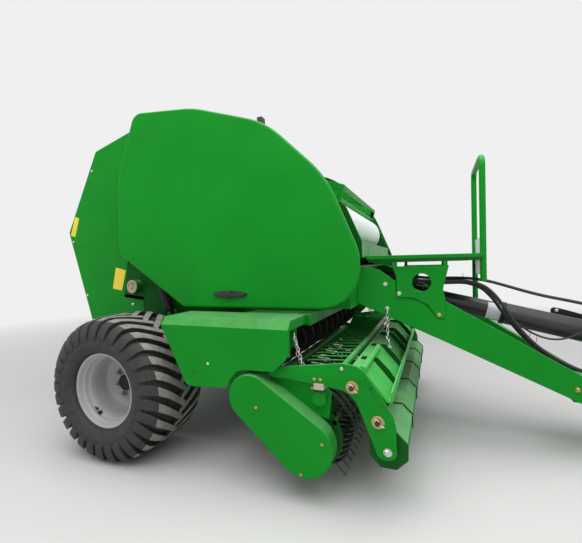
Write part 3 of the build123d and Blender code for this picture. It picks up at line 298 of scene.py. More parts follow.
# Nodes that a copy with softened edges stands for. Columns are look, edge width, steps in the edge and nodes.
SHELLS = [
    ("green", 0.001, 2, ["guard_rail"]),
    ("green", 0.0015, 2, ["platform_brackets", "net_frame", "panel_hinges_right", "panel_hinges_left"]),
    ("green", 0.002, 2, ["side_box_right", "side_box_left", "pickup_frame", "platform_deck", "net_tray",
                         "shaft_stand"]),
    ("green", 0.003, 2, ["tailgate", "chassis", "jack_tube"]),
    ("green", 0.004, 2, ["drawbar", "hitch_tongue"]),
    ("green", 0.006, 2, ["gearbox"]),
    # The chamber front, its sideways faces in painted shade
    ("green_side_shade", 0.003, 2, ["chamber_front"]),
    # The hood in its brighter green, painted light
    ("hood", 0.0015, 2, ["pickup_hood"]),
    ("black", 0.001, 2, ["hose_holder"]),
    ("black", 0.002, 2, ["cylinder_barrel_right", "cylinder_barrel_left"]),
    ("black", 0.003, 2, ["hub_right", "hub_left"]),
    ("black", 0.004, 2, ["axle"]),
    ("steel", 0.002, 2, ["hinge_pin", "net_rollers"]),
    ("steel", 0.003, 3, ["drive_shaft"]),
    ("dark_steel", 0.0015, 2, ["feed_rotor"]),
    ("band", 0.0008, 1, ["strippers"]),
    ("plate", 0.0008, 2, ["rail_plate"]),
    ("zinc", 0.002, 2, ["jack_leg"]),
    ("chrome", 0.002, 2, ["cylinder_rod_right", "cylinder_rod_left"]),
    ("guard", 0.003, 3, ["shaft_guard"]),
]
# The looks of the other nodes: those that show as they are and those that a piece of its own stands for
OTHER_NODES = {
    "green": ["side_panel_right", "side_panel_left", "pickup_arms", "chain_case", "crop_roller", "windguard"],
    "silver": ["rim_right", "rim_left"],
    "tyre": ["tyre_right", "tyre_left"],
    "dark_steel": ["chamber_rollers", "tailgate_rollers", "pickup_reel"],
    "black": ["panel_latch_right", "panel_latch_left"],
    "zinc": ["hose_fittings", "hose_couplings"],
    "hose": ["hose_upper", "hose_outer", "hose_inner", "hose_thin"],
    "film": ["net_roll"],
}


def dress_nodes():
    """Give every node of the frame a look, also those that a piece stands for."""
    node_looks = [(look, nodes) for look, _, _, nodes in SHELLS] + list(OTHER_NODES.items())
    for look, nodes in node_looks:
        for name in nodes:
            materials = frame["nodes"][name].data.materials
            materials.clear()
            materials.append(M[look])


dress_nodes()


def declare(piece, body, replaces=()):
    """Say which body a piece rides on, and hide the nodes that it stands for."""
    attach(piece, body)
    if replaces:
        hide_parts(*replaces)


# Hoses. Each route is a name, a radius, the hose's length and its points: x, y, z.
HOSES = [
    ("hose_upper", 0.010, 1.737, [
        (1.498, -0.244, 1.150), (1.600, -0.244, 1.150), (1.710, -0.227, 1.134), (1.820, -0.190, 1.112),
        (1.930, -0.150, 1.102), (2.040, -0.115, 1.102), (2.150, -0.095, 1.098), (2.260, -0.085, 1.080),
        (2.370, -0.082, 1.045), (2.480, -0.084, 1.008), (2.590, -0.088, 0.977), (2.700, -0.092, 0.954),
        (2.800, -0.098, 0.930), (2.880, -0.106, 0.903), (2.950, -0.115, 0.858), (3.006, -0.124, 0.795),
        (3.036, -0.130, 0.730), (3.036, -0.130, 0.665)]),
    ("hose_outer", 0.011, 1.699, [
        (1.498, -0.300, 1.120), (1.600, -0.300, 1.120), (1.710, -0.287, 1.106), (1.820, -0.262, 1.092),
        (1.930, -0.232, 1.085), (2.040, -0.200, 1.086), (2.145, -0.172, 1.080), (2.235, -0.158, 1.050),
        (2.300, -0.152, 0.985), (2.350, -0.150, 0.905), (2.400, -0.150, 0.820), (2.456, -0.150, 0.740),
        (2.522, -0.150, 0.668), (2.602, -0.149, 0.606), (2.690, -0.147, 0.554), (2.780, -0.144, 0.520),
        (2.868, -0.140, 0.500), (2.940, -0.140, 0.500)]),
    ("hose_inner", 0.011, 1.692, [
        (1.498, -0.272, 1.120), (1.600, -0.272, 1.120), (1.710, -0.258, 1.104), (1.820, -0.232, 1.089),
        (1.930, -0.204, 1.081), (2.040, -0.172, 1.082), (2.140, -0.146, 1.070), (2.225, -0.131, 1.034),
        (2.288, -0.126, 0.968), (2.333, -0.125, 0.888), (2.390, -0.122, 0.805), (2.448, -0.121, 0.728),
        (2.515, -0.120, 0.658), (2.596, -0.118, 0.597), (2.686, -0.116, 0.548), (2.776, -0.114, 0.517),
        (2.866, -0.112, 0.500), (2.940, -0.112, 0.500)]),
    ("hose_thin", 0.006, 1.757, [
        (1.498, -0.225, 1.095), (1.585, -0.225, 1.095), (1.675, -0.213, 1.084), (1.765, -0.196, 1.070),
        (1.855, -0.178, 1.066), (1.945, -0.158, 1.064), (2.035, -0.138, 1.066), (2.120, -0.119, 1.066),
        (2.195, -0.108, 1.050), (2.250, -0.103, 1.002), (2.300, -0.101, 0.940), (2.352, -0.100, 0.878),
        (2.412, -0.100, 0.815), (2.480, -0.101, 0.758), (2.555, -0.103, 0.718), (2.630, -0.106, 0.704),
        (2.705, -0.110, 0.722), (2.775, -0.114, 0.765), (2.840, -0.118, 0.800), (2.900, -0.122, 0.812),
        (2.950, -0.126, 0.790), (2.984, -0.130, 0.735), (2.984, -0.130, 0.665)]),
]


def hoses():
    """Each hose as a smooth cord along its route."""
    for name, radius, length, points in HOSES:
        curve = bpy.data.curves.new(name + "_line", "CURVE")
        curve.dimensions = "3D"
        curve.bevel_depth = radius
        curve.bevel_resolution = 4
        curve.resolution_u = 8
        curve.use_fill_caps = True
        spline = curve.splines.new("NURBS")
        spline.points.add(len(points) - 1)
        for point, spot in zip(spline.points, points):
            point.co = (*at(*spot), 1)
        spline.order_u = 3
        spline.use_endpoint_u = True
        curve.materials.append(M["hose"])
        piece = bpy.data.objects.new(name + "_line", curve)
        bpy.context.scene.collection.objects.link(piece)
        declare(piece, "root", [name])


hoses()


# Mesh helpers
def facing(place, direction, turn=0.0):
    """The transform that puts a form's own Z along a direction, at a place."""
    lean = Vector(direction).to_track_quat("Z", "Y").to_matrix().to_4x4()
    return Matrix.Translation(place) @ lean @ Matrix.Rotation(turn, 4, "Z")


def outward(angle):
    """A direction in the machine's X and Z, turned up by an angle from straight ahead."""
    return Vector((math.cos(angle), 0, math.sin(angle)))


def around(steps, radius=1.0, turn=0.0):
    """Points on a circle, as pairs."""
    angles = [math.tau * k / steps + turn for k in range(steps)]
    return [(radius * math.cos(angle), radius * math.sin(angle)) for angle in angles]


def circle(x, y, radius, steps):
    """A circle as a flat outline."""
    return [(x + dx, y + dy) for dx, dy in around(steps, radius)]


def ring_section(low, high, inner, outer):
    """A plain ring's section: rows of height and radius."""
    return [(low, inner), (low, outer), (high, outer), (high, inner)]


def bent(points, radius, steps=5):
    """A line of points with its corners rounded."""
    spots = [Vector(point) for point in points]
    line = [spots[0]]
    for before, corner, after in zip(spots, spots[1:], spots[2:]):
        back, ahead = before - corner, after - corner
        reach = min(radius, 0.45 * back.length, 0.45 * ahead.length)
        start, end = corner + back.normalized() * reach, corner + ahead.normalized() * reach
        for step in range(steps + 1):
            t = step / steps
            line.append(start * (1 - t) ** 2 + corner * 2 * t * (1 - t) + end * t ** 2)
    line.append(spots[-1])
    return line


def rounded(rows, steps=6):
    """A closed flat outline with rounded corners. A row is two places and, where it is round, a radius."""
    points = []
    for index, row in enumerate(rows):
        corner = Vector(row[:2])
        radius = row[2] if len(row) > 2 else 0
        if not radius:
            points.append(corner)
            continue
        back = (Vector(rows[index - 1][:2]) - corner).normalized()
        ahead = (Vector(rows[(index + 1) % len(rows)][:2]) - corner).normalized()
        half = back.angle(ahead) / 2
        reach = radius / math.tan(half)
        middle = corner + (back + ahead).normalized() * (radius / math.sin(half))
        first, last = corner + back * reach - middle, corner + ahead * reach - middle
        sweep = first.angle_signed(last)
        for step in range(steps + 1):
            points.append(middle + Matrix.Rotation(-sweep * step / steps, 2) @ first)
    return points


class Forms:
    """Many small forms gathered in one mesh. Each can have its own look, an index into the piece's looks."""

    def __init__(self):
        self.mesh = bmesh.new()

    def rings(self, rows, place=None, look=0, closed=False):
        """Skin rings that have as many points each, and give the faces back, ring by ring and then the ends.

        A closed list joins its last ring to its first and has no ends.
        """
        made = []
        for row in rows:
            spots = [place @ Vector(point) if place else Vector(point) for point in row]
            made.append([self.mesh.verts.new(spot) for spot in spots])
        count = len(made[0])
        faces = []
        for index in range(len(made) if closed else len(made) - 1):
            ring, after = made[index], made[(index + 1) % len(made)]
            for k in range(count):
                beside = (k + 1) % count
                faces.append((ring[k], ring[beside], after[beside], after[k]))
        if not closed:
            faces += [tuple(reversed(made[0])), tuple(made[-1])]
        made_faces = [self.mesh.faces.new(corners) for corners in faces]
        for face in made_faces:
            face.material_index = look
        return made_faces

    def lathe(self, profile, place, steps, look=0, closed=False, turn=0.0):
        """Turn rows of height and radius about the place's Z."""
        rows = [[(x, y, height) for x, y in around(steps, radius, turn)] for height, radius in profile]
        self.rings(rows, place, look, closed)

    def tube(self, points, radius, steps, look=0, closed=False):
        """A round bar along a line of points."""
        spots = [Vector(point) for point in points]
        count = len(spots)
        rows = []
        side = None
        for index, spot in enumerate(spots):
            before = spots[index - 1] if closed or index else spot
            after = spots[(index + 1) % count] if closed or index < count - 1 else spot
            along = (after - before).normalized()
            if side is None:
                side = along.orthogonal().normalized()
            side = (side - along * side.dot(along)).normalized()
            over = along.cross(side)
            rows.append([spot + side * x + over * y for x, y in around(steps, radius)])
        self.rings(rows, None, look, closed)

    def slab(self, outline, depth, place):
        """A flat outline in the place's X and Y, from its Z = 0 to the depth."""
        self.rings([[(x, y, z) for x, y in outline] for z in (0, depth)], place)

    def sheet(self, outline, holes, thickness, place, bevel):
        """A flat sheet with holes and softened edges, from the place's Z = 0 to the thickness."""
        curve = bpy.data.curves.new("sheet", "CURVE")
        curve.dimensions = "2D"
        curve.fill_mode = "BOTH"
        curve.extrude = thickness / 2 - bevel
        curve.bevel_depth = bevel
        curve.bevel_resolution = 2
        curve.offset = -bevel
        for loop in (outline, *holes):
            spline = curve.splines.new("POLY")
            spline.points.add(len(loop) - 1)
            for point, (x, y) in zip(spline.points, loop):
                point.co = (x, y, 0, 1)
            spline.use_cyclic_u = True
        holder = bpy.data.objects.new("sheet", curve)
        data = bpy.data.meshes.new_from_object(holder)
        data.transform(place @ Matrix.Translation((0, 0, thickness / 2)))
        self.mesh.from_mesh(data)
        bmesh.ops.remove_doubles(self.mesh, verts=self.mesh.verts, dist=1e-6)
        bpy.data.objects.remove(holder)

    def plate(self, outline, y0, y1):
        """An outline in X and Z, extruded along Y."""
        self.rings([[at(x, y, z) for x, z in outline] for y in (y0, y1)])

    def box(self, low, high, look=0, place=None):
        x0, y0, z0 = low
        x1, y1, z1 = high
        self.rings([[(x0, y0, z), (x1, y0, z), (x1, y1, z), (x0, y1, z)] for z in (z0, z1)], place, look)

    def bolt(self, place, direction, size, washer=True):
        """A hexagon head, turned a little, on its washer. The size is the thread's diameter."""
        spot = facing(place, direction, turn=0.3)
        base = size * 0.2 if washer else 0.0
        if washer:
            self.lathe([(-size * 0.1, size * 1.1), (base, size * 1.1), (base, 0.001)], spot, 24)
        top, flats = base + size * 0.65, size * 0.92
        self.lathe([(0, flats), (top - size * 0.13, flats), (top, size * 0.78), (top, size * 0.1)], spot, 6)

    def link(self, centre, along, beside, length, width, wire):
        """One chain link: a bar bent to an oval."""
        along, beside = Vector(along).normalized(), Vector(beside)
        beside = (beside - along * beside.dot(along)).normalized()
        straight, bow = (length - width) / 2, (width - wire) / 2
        line = []
        for ahead, aside in around(12):
            shift = straight if ahead > 0 else -straight
            line.append(Vector(centre) + along * (shift + bow * ahead) + beside * (bow * aside))
        self.tube(line, wire / 2, 6, closed=True)

    def chain(self, points, length, width, wire):
        """Links along a line, each a quarter turn from the last."""
        gaps = [(b - a).length for a, b in zip(points, points[1:])]
        count = max(1, round(sum(gaps) / (length - 2 * wire)))
        for index in range(count):
            reach = (index + 0.5) * sum(gaps) / count
            step = 0
            while step < len(gaps) - 1 and reach > gaps[step]:
                reach -= gaps[step]
                step += 1
            along = (points[step + 1] - points[step]).normalized()
            side = along.cross(Vector((0.35, 1, 0.2))).normalized()
            twist = Matrix.Rotation(math.pi / 4 + math.pi / 2 * (index % 2), 3, along)
            self.link(points[step] + along * reach, along, twist @ side, length, width, wire)


def smooth_piece(name, mesh, looks, sharp):
    """Turn a bmesh into an object with smooth faces and sharp edges."""
    data = bpy.data.meshes.new(name)
    mesh.to_mesh(data)
    mesh.free()
    for look in looks:
        data.materials.append(M[look])
    for face in data.polygons:
        face.use_smooth = True
    data.set_sharp_from_angle(angle=math.radians(sharp))
    piece = bpy.data.objects.new(name, data)
    bpy.context.scene.collection.objects.link(piece)
    return piece


def joined(name, forms, looks, body, replaces=(), sharp=32, bevel=0.0):
    """Turn gathered forms into one piece that rides on a body."""
    looks = [looks] if isinstance(looks, str) else looks
    bmesh.ops.recalc_face_normals(forms.mesh, faces=forms.mesh.faces)
    piece = smooth_piece(name, forms.mesh, looks, sharp)
    if bevel:
        edge = piece.modifiers.new("edges", "BEVEL")
        edge.width = bevel
        edge.segments = 2
        edge.limit_method = "ANGLE"
        edge.angle_limit = math.radians(sharp)
        edge.use_clamp_overlap = False
        edge.harden_normals = True
    declare(piece, body, replaces)
    return piece


def body_of_node(node):
    for body, nodes in frame["record"]["behaviour"]["bodies"].items():
        if node in nodes:
            return body
    return "root"


def soften_edges(mesh, edges, width, segments):
    bmesh.ops.bevel(mesh, geom=edges, offset=width, offset_type="OFFSET", segments=segments, profile=0.5,
                    affect="EDGES", clamp_overlap=False)


def softened(node, look, width, segments, rim=None, rim_width=0.0, rim_segments=0):
    """Stand for a node with the same form, its hard edges turned as real sheet and plate has them.

    The edges that the rim function picks are turned wider than the rest.
    """
    mesh = bmesh.new()
    mesh.from_mesh(frame["nodes"][node].data)
    bmesh.ops.remove_doubles(mesh, verts=mesh.verts, dist=1e-5)
    bmesh.ops.dissolve_limit(mesh, angle_limit=math.radians(0.5), verts=mesh.verts, edges=mesh.edges)
    limit = math.radians(30)
    hard = [edge for edge in mesh.edges if len(edge.link_faces) == 2 and edge.calc_face_angle(0) > limit]
    if rim:
        wide = [edge for edge in hard if rim(edge)]
        hard = [edge for edge in hard if not rim(edge)]
        soften_edges(mesh, wide, rim_width, rim_segments)
        hard = [edge for edge in hard if edge.is_valid]
    soften_edges(mesh, hard, width, segments)
    piece = smooth_piece(node + "_shell", mesh, [look], sharp=40)
    weigh = piece.modifiers.new("normals", "WEIGHTED_NORMAL")
    weigh.keep_sharp = True
    weigh.weight = 80
    declare(piece, body_of_node(node), [node])
    return piece


def outer_edge(node, side):
    """Pick the edges that lie on a node's outer face."""
    low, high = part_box(node)
    face = low.y if side < 0 else high.y
    return lambda edge: all(abs(vert.co.y - face) < 1e-4 for vert in edge.verts)


def shells():
    """The nodes' softened copies. The chamber's front has painted shade, a darker green, on the faces that look
    sideways.
    """
    for look, width, segments, nodes in SHELLS:
        for node in nodes:
            shell = softened(node, look, width, segments)
            if node == "chamber_front":
                shell.data.materials.append(M["green"])
                # Sideways faces take the darker green as painted shade
                for face in shell.data.polygons:
                    face.material_index = 0 if abs(face.normal.y) > 0.9 else 1
    for side_name, side in SIDES:
        panel = "side_panel_" + side_name
        softened(panel, "green", 0.0012, 2, outer_edge(panel, side), 0.016, 5)
    softened("chain_case", "green", 0.002, 2, outer_edge("chain_case", -1), 0.007, 4)


shells()

# Wheels. Rows of the section are y from the wheel's middle and radius.
CARCASS = [
    (0.0, 0.428), (0.10, 0.4275), (0.155, 0.4245), (0.188, 0.413), (0.213, 0.390), (0.231, 0.362),
    (0.2425, 0.332), (0.2440, 0.305), (0.2455, 0.300), (0.2435, 0.295), (0.237, 0.272), (0.224, 0.254),
    (0.214, 0.246), (0.2055, 0.2455), (0.2035, 0.2375), (0.189, 0.2365), (0.189, 0.2225)]
# A lug's stations from the middle to the side wall: top y, top radius, base y, base radius, lead, half width
LUG = [
    (-0.022, 0.4580, -0.022, 0.421, 0.375, 0.021), (0.020, 0.4580, 0.020, 0.421, 0.315, 0.023),
    (0.070, 0.4578, 0.070, 0.421, 0.235, 0.024), (0.120, 0.4570, 0.120, 0.420, 0.158, 0.025),
    (0.165, 0.4540, 0.160, 0.417, 0.096, 0.0265), (0.203, 0.4410, 0.188, 0.406, 0.046, 0.029),
    (0.228, 0.4150, 0.205, 0.388, 0.018, 0.033), (0.2430, 0.3800, 0.218, 0.364, 0.005, 0.036),
    (0.2500, 0.3480, 0.230, 0.340, 0.0, 0.036), (0.2470, 0.3240, 0.236, 0.318, -0.002, 0.028)]
LUGS = 29
LUG_DUSTY = 5
LUG_FLARE = 0.011
# The turn of the first lug, so that the pattern stands as in the photograph
LUG_START = math.pi - 0.37 - 0.020 / AXLE_Z


def lug(forms, middle_y, hand, start):
    """One lug on one half of a tyre. Its foot is wider than its top, whose first stations are dusty."""
    rows = []
    for top_y, top_r, base_y, base_r, lead, half_width in LUG:
        turn, spread = start + lead, half_width / AXLE_Z
        foot = spread + LUG_FLARE
        corners = [(base_y, base_r, turn - foot), (top_y, top_r, turn - spread),
                   (top_y, top_r, turn + spread), (base_y, base_r, turn + foot)]
        rows.append([(AXLE_X + radius * math.sin(angle), middle_y + hand * y,
                      AXLE_Z + radius * math.cos(angle)) for y, radius, angle in corners])
    faces = forms.rings(rows)
    for station in range(LUG_DUSTY):
        faces[station * 4 + 1].material_index = 1


def make_tyre(side_name, side):
    forms = Forms()
    middle_y = side * TRACK
    section = [(-y, radius) for y, radius in reversed(CARCASS)][:-1] + CARCASS
    forms.lathe(section, facing((AXLE_X, middle_y, AXLE_Z), LEFTWARD), LUGS * 4, closed=True)
    for hand, stagger in ((-1, 0.0), (1, 0.5)):
        for index in range(LUGS):
            lug(forms, middle_y, hand, LUG_START + math.tau * (index + stagger) / LUGS)
    joined("tyre_tread_" + side_name, forms, ["tyre", "tread"], "wheel_" + side_name, ["tyre_" + side_name],
           sharp=28, bevel=0.0035)


# The rim's outer face, from the lip inwards: depth from the lip's face and radius
RIM_FACE = [
    (0.0, 0.2362), (-0.0035, 0.2325), (-0.0035, 0.2265), (0.0, 0.2225), (0.010, 0.2185), (0.026, 0.2165),
    (0.030, 0.2125), (0.0335, 0.2080), (0.046, 0.2060), (0.058, 0.2045), (0.066, 0.1985), (0.074, 0.1930),
    (0.110, 0.1920), (0.150, 0.1915), (0.180, 0.1905), (0.188, 0.1870), (0.190, 0.1790), (0.186, 0.1730),
    (0.190, 0.1660), (0.202, 0.1540), (0.214, 0.1440), (0.219, 0.1340), (0.220, 0.0620)]
# Its back, from the disc outwards: depth from the back lip's face and radius
RIM_BACK = [
    (0.175, 0.062), (0.175, 0.150), (0.150, 0.186), (0.060, 0.2010), (0.030, 0.2090), (0.0, 0.2160),
    (0.0, 0.2300), (0.003, 0.2355), (0.010, 0.2360), (0.0145, 0.2300), (0.016, 0.222)]
# The seat's front end, behind the outer lip: depth from the lip's face and radius
RIM_SEAT = [(0.016, 0.222), (0.0145, 0.2300), (0.010, 0.2362)]
NUTS, NUT_CIRCLE = 8, 0.1025
# Turned profiles, here and below: rows of height and radius
NUT_WASHER = [(0, 0.021), (0.006, 0.021), (0.010, 0.017)]
NUT = [(0.004, 0.0135), (0.022, 0.0135), (0.025, 0.011), (0.025, 0.007), (0.034, 0.007), (0.036, 0.005),
       (0.036, 0.001)]
VALVE_X, VALVE_DEPTH, VALVE_DROP = -0.130, 0.060, 0.152
VALVE = [(-0.006, 0.009), (0.004, 0.009), (0.006, 0.0045), (0.030, 0.0042), (0.031, 0.0055), (0.044, 0.0055),
         (0.046, 0.003)]
VALVE_TAG = [(-0.02, -0.012, 0.003), (0.02, -0.012, 0.003), (0.02, 0.012, 0.003), (-0.02, 0.012, 0.003)]


def make_rim(side_name, side):
    """The rim with its dished disc, the wheel nuts and the valve with its tag."""
    wheel, out = "wheel_" + side_name, Vector((0, side, 0))
    middle = Vector((AXLE_X, side * TRACK, AXLE_Z))
    low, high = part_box("rim_" + side_name)
    lip = (high.y - low.y) / 2
    disc = Forms()
    section = [(lip - depth, radius) for depth, radius in RIM_FACE]
    section += [(depth - lip, radius) for depth, radius in RIM_BACK]
    section += [(lip - depth, radius) for depth, radius in RIM_SEAT]
    disc.lathe(section, facing(middle, out), 96, closed=True)
    joined("rim_disc_" + side_name, disc, "silver", wheel, ["rim_" + side_name], sharp=50)
    nuts = Forms()
    for index in range(NUTS):
        turn = math.tau * (index + 0.35) / NUTS
        spot = middle + out * (lip - RIM_FACE[-1][0]) + outward(turn) * NUT_CIRCLE
        nuts.lathe(NUT_WASHER, facing(spot, out), 20)
        nuts.lathe(NUT, facing(spot, out, turn), 6)
    joined("wheel_nuts_" + side_name, nuts, "steel", wheel)
    valve = Forms()
    from_axle = Vector((VALVE_X, 0, -VALVE_DROP))
    inward = -from_axle.normalized()
    spot = middle + out * (lip - VALVE_DEPTH) + from_axle
    valve.lathe(VALVE, facing(spot, inward + out * 0.9), 14)
    tag_place = facing(spot + inward * 0.002 + Vector((0.03, 0, -0.02)), inward)
    valve.slab(rounded(VALVE_TAG, 3), 0.002, tag_place)
    joined("rim_valve_" + side_name, valve, "guard", wheel)


for side_name, side in SIDES:
    make_tyre(side_name, side)
    make_rim(side_name, side)

# Places on the nodes' own faces, so that bolts and labels sit on them
TREES = {}


def skin(node, x, z, side):
    """Where a line from one side, at an X and Z from the axle, meets a node, and how that face is turned."""
    if node not in TREES:
        data = frame["nodes"][node].data
        TREES[node] = BVHTree.FromPolygons([vert.co for vert in data.vertices],
                                           [face.vertices for face in data.polygons])
    spot, normal, _, _ = TREES[node].ray_cast(at(x, side * 3, z), Vector((0, -side, 0)))
    if spot is None:
        raise ValueError(f"{node} has no face at {x}, {z}")
    return spot, normal


# Bolts that show on a side. Columns are node, look, thread, sides and each bolt's x and z.
SIDE_BOLTS = [
    ("tailgate", "zinc", 0.010, BOTH, [(-0.700, 2.035), (-0.945, 1.457), (-0.300, 0.933), (-0.800, 1.000)]),
    ("side_box_right", "zinc", 0.008, [-1], [(0.754, 0.678)]),
    ("side_box_left", "zinc", 0.008, [1], [(0.754, 0.678)]),
    ("chain_case", "brass_zinc", 0.008, [-1], [(1.053, 0.472), (1.411, 0.335), (1.297, 0.165)]),
    ("platform_brackets", "zinc", 0.012, BOTH, [(1.723, 1.020)]),
    ("platform_brackets", "brass_zinc", 0.012, BOTH, [(1.955, 0.885)]),
    ("drawbar", "brass_zinc", 0.014, BOTH, [(2.699, 0.445)]),
    ("drawbar", "zinc", 0.012, BOTH, [(1.640, 1.080)]),
]


def side_bolts():
    for node, look, size, ways, places in SIDE_BOLTS:
        forms = Forms()
        for side in ways:
            for x, z in places:
                forms.bolt(*skin(node, x, z, side), size)
        joined(f"bolts_{node}_{look}", forms, look, body_of_node(node))


side_bolts()

# Blank labels stuck flat on the tailgate's sides: the four corners' x and z
LABELS = {
    "label_tail": [(-0.975, 1.515), (-0.925, 1.500), (-0.870, 1.655), (-0.920, 1.672)],
    "label_hinge": [(-0.510, 1.059), (-0.413, 1.043), (-0.364, 1.204), (-0.470, 1.230)],
}


def labels():
    for name, corners in LABELS.items():
        outline = rounded([(x, z, 0.006) for x, z in corners], 3)
        middle_x, middle_z = (sum(values) / len(corners) for values in zip(*corners))
        for side_name, side in SIDES:
            spot, _ = skin("tailgate", middle_x, middle_z, side)
            forms = Forms()
            forms.plate(outline, spot.y - side * 0.0008, spot.y + side * 0.0012)
            joined(f"{name}_{side_name}", forms, "label_yellow", "tailgate")


labels()

# The cast caps on the chamber's side bearings
CAP_X, CAP_Z = -0.232, 1.078
CAP = [(-0.002, 0.051), (0.003, 0.051), (0.006, 0.048), (0.007, 0.036), (0.003, 0.032), (0.002, 0.016),
       (0.008, 0.013), (0.009, 0.001)]
NIPPLE = [(0.0, 0.0045), (0.012, 0.0045), (0.013, 0.0028), (0.020, 0.0028), (0.022, 0.0016)]
NIPPLE_FROM_MIDDLE = Vector((0.010, 0, 0.026))
CAP_BOLTS, CAP_BOLT_CIRCLE = 3, 0.042


def bearing_caps():
    """The cap on each side, with its grease nipple and three small bolts."""
    for side_name, side in SIDES:
        spot, normal = skin("chamber_front", CAP_X, CAP_Z, side)
        cap = Forms()
        cap.lathe(CAP, facing(spot, normal), 40)
        cap.lathe(NIPPLE, facing(spot + NIPPLE_FROM_MIDDLE, normal), 12)
        for index in range(CAP_BOLTS):
            reach = outward(math.tau * (index + 0.4) / CAP_BOLTS) * CAP_BOLT_CIRCLE
            cap.bolt(spot + reach + Vector((0, 0.003 * side, 0)), normal, 0.005, washer=False)
        joined("bearing_cap_" + side_name, cap, "beige", "root")


bearing_caps()


# The pickup. Rows of an outline are x, z and the corner's radius.
ARM_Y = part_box("pickup_arms")[1].y
ARM_THICK = 0.012
PICKUP_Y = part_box("pickup_frame")[1].y - 0.030
ARM_OUTLINE = [
    (1.105, 0.630, 0.008), (1.110, 0.672, 0.020), (1.220, 0.690, 0.060), (1.505, 0.728, 0.130),
    (1.600, 0.716, 0.090), (1.756, 0.480, 0.160), (1.760, 0.282, 0.041), (1.676, 0.282, 0.041),
    (1.556, 0.590, 0.130), (1.400, 0.606, 0.100), (1.220, 0.624, 0.060)]
ARM_SLOT = [(1.634, 0.622, 0.0095), (1.651, 0.634, 0.0095), (1.707, 0.532, 0.0095), (1.690, 0.521, 0.0095)]
SLOT_BACKING = [(1.618, 0.636, 0.01), (1.650, 0.654, 0.01), (1.724, 0.520, 0.01), (1.688, 0.503, 0.01)]
ROLLER, GUARD_TUBE = pivot("crop_roller_spin"), pivot("windguard_swing")
ROLLER_HOLE, GUARD_HOLE = 0.0166, 0.0106
UPRIGHT = Matrix(((1, 0, 0, 0), (0, 0, -1, 0), (0, 1, 0, 0), (0, 0, 0, 1)))
# The pins through the arms: x, z and the turn of the pin's clip
PINS = ((1.554, 0.614, -0.65), (1.675, 0.460, -0.55))
PIN_WASHER = [(-0.001, 0.031), (0.0030, 0.031), (0.0036, 0.030), (0.0036, 0.012)]
PIN = [(0.0, 0.0125), (0.022, 0.0125), (0.0245, 0.0105), (0.0245, 0.001)]


def arm_plate(side_name, side):
    """A pickup arm: a flat plate with two holes and a slot with a raised rim, and a sheet behind the slot."""
    arm = Forms()
    slot = rounded(ARM_SLOT, 6)
    holes = [slot, circle(ROLLER.x - AXLE_X, ROLLER.z, ROLLER_HOLE, 28),
             circle(GUARD_TUBE.x - AXLE_X, GUARD_TUBE.z, GUARD_HOLE, 20)]
    _, high_y = across(side, ARM_Y - ARM_THICK, ARM_Y)
    place = Matrix.Translation((AXLE_X, high_y, 0)) @ UPRIGHT
    arm.sheet(rounded(ARM_OUTLINE, 10), holes, ARM_THICK, place, bevel=0.0018)
    arm.tube([at(x, side * (ARM_Y - 0.001), z) for x, z in slot], 0.0022, 6, closed=True)
    joined("pickup_arm_" + side_name, arm, "green", "pickup", sharp=30)
    backing = Forms()
    behind = ARM_Y - ARM_THICK - 0.001
    backing.plate(rounded(SLOT_BACKING), *across(side, behind - 0.004, behind))
    # The backing in the hood's brighter green, painted light
    joined("slot_backing_" + side_name, backing, "hood", "pickup", bevel=0.0006)


def arm_pins(side_name, side):
    """The pins with their washers and the spring clips through them."""
    out = Vector((0, side, 0))
    forms = Forms()
    for x, z, turn in PINS:
        spot = at(x, side * ARM_Y, z)
        forms.lathe(PIN_WASHER, facing(spot, out), 36)
        forms.lathe(PIN, facing(spot, out), 24, look=1)
        clip, along = spot + out * 0.014, outward(turn)
        beside = along.cross(LEFTWARD)
        bar = [clip - along * 0.020, clip + along * 0.026, clip + along * 0.036 + UPWARD * 0.002]
        forms.tube(bar, 0.0022, 8, look=2)
        loop = [along * (0.019 * ahead - 0.003) + beside * (0.013 * aside) for ahead, aside in around(16)]
        forms.tube([clip + reach for reach in loop], 0.0018, 6, look=2, closed=True)
    joined("arm_pins_" + side_name, forms, ["brass_zinc", "dark_steel", "zinc"], "pickup")


BLOCK_X, BLOCK_Z = (1.360, 1.412), (0.586, 0.617)
# The bolts at the block: x, how far out from the arm, z and thread
ARM_BOLTS = ((1.362, 0, 0.637, 0.008), (1.394, 0, 0.637, 0.008), (1.350, 0.002, 0.592, 0.006))


def arm_block(side_name, side):
    """The pale block under the arm, with the bolts beside it."""
    block = Forms()
    y0, y1 = across(side, PICKUP_Y + 0.001, ARM_Y + 0.010)
    block.box(at(BLOCK_X[0], y0, BLOCK_Z[0]), at(BLOCK_X[1], y1, BLOCK_Z[1]))
    joined("arm_block_" + side_name, block, "beige", "pickup", bevel=0.002)
    bolts = Forms()
    for x, out, z, size in ARM_BOLTS:
        bolts.bolt(at(x, side * (ARM_Y + out), z), (0, side, 0), size)
    joined("arm_bolts_" + side_name, bolts, "brass_zinc", "pickup")


for side_name, side in SIDES:
    arm_plate(side_name, side)
    arm_pins(side_name, side)
    arm_block(side_name, side)
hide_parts("pickup_arms")

# The crop roller and the wind guard
PLATE_R, BAND_R = 0.092, 0.099
BANDS = 4


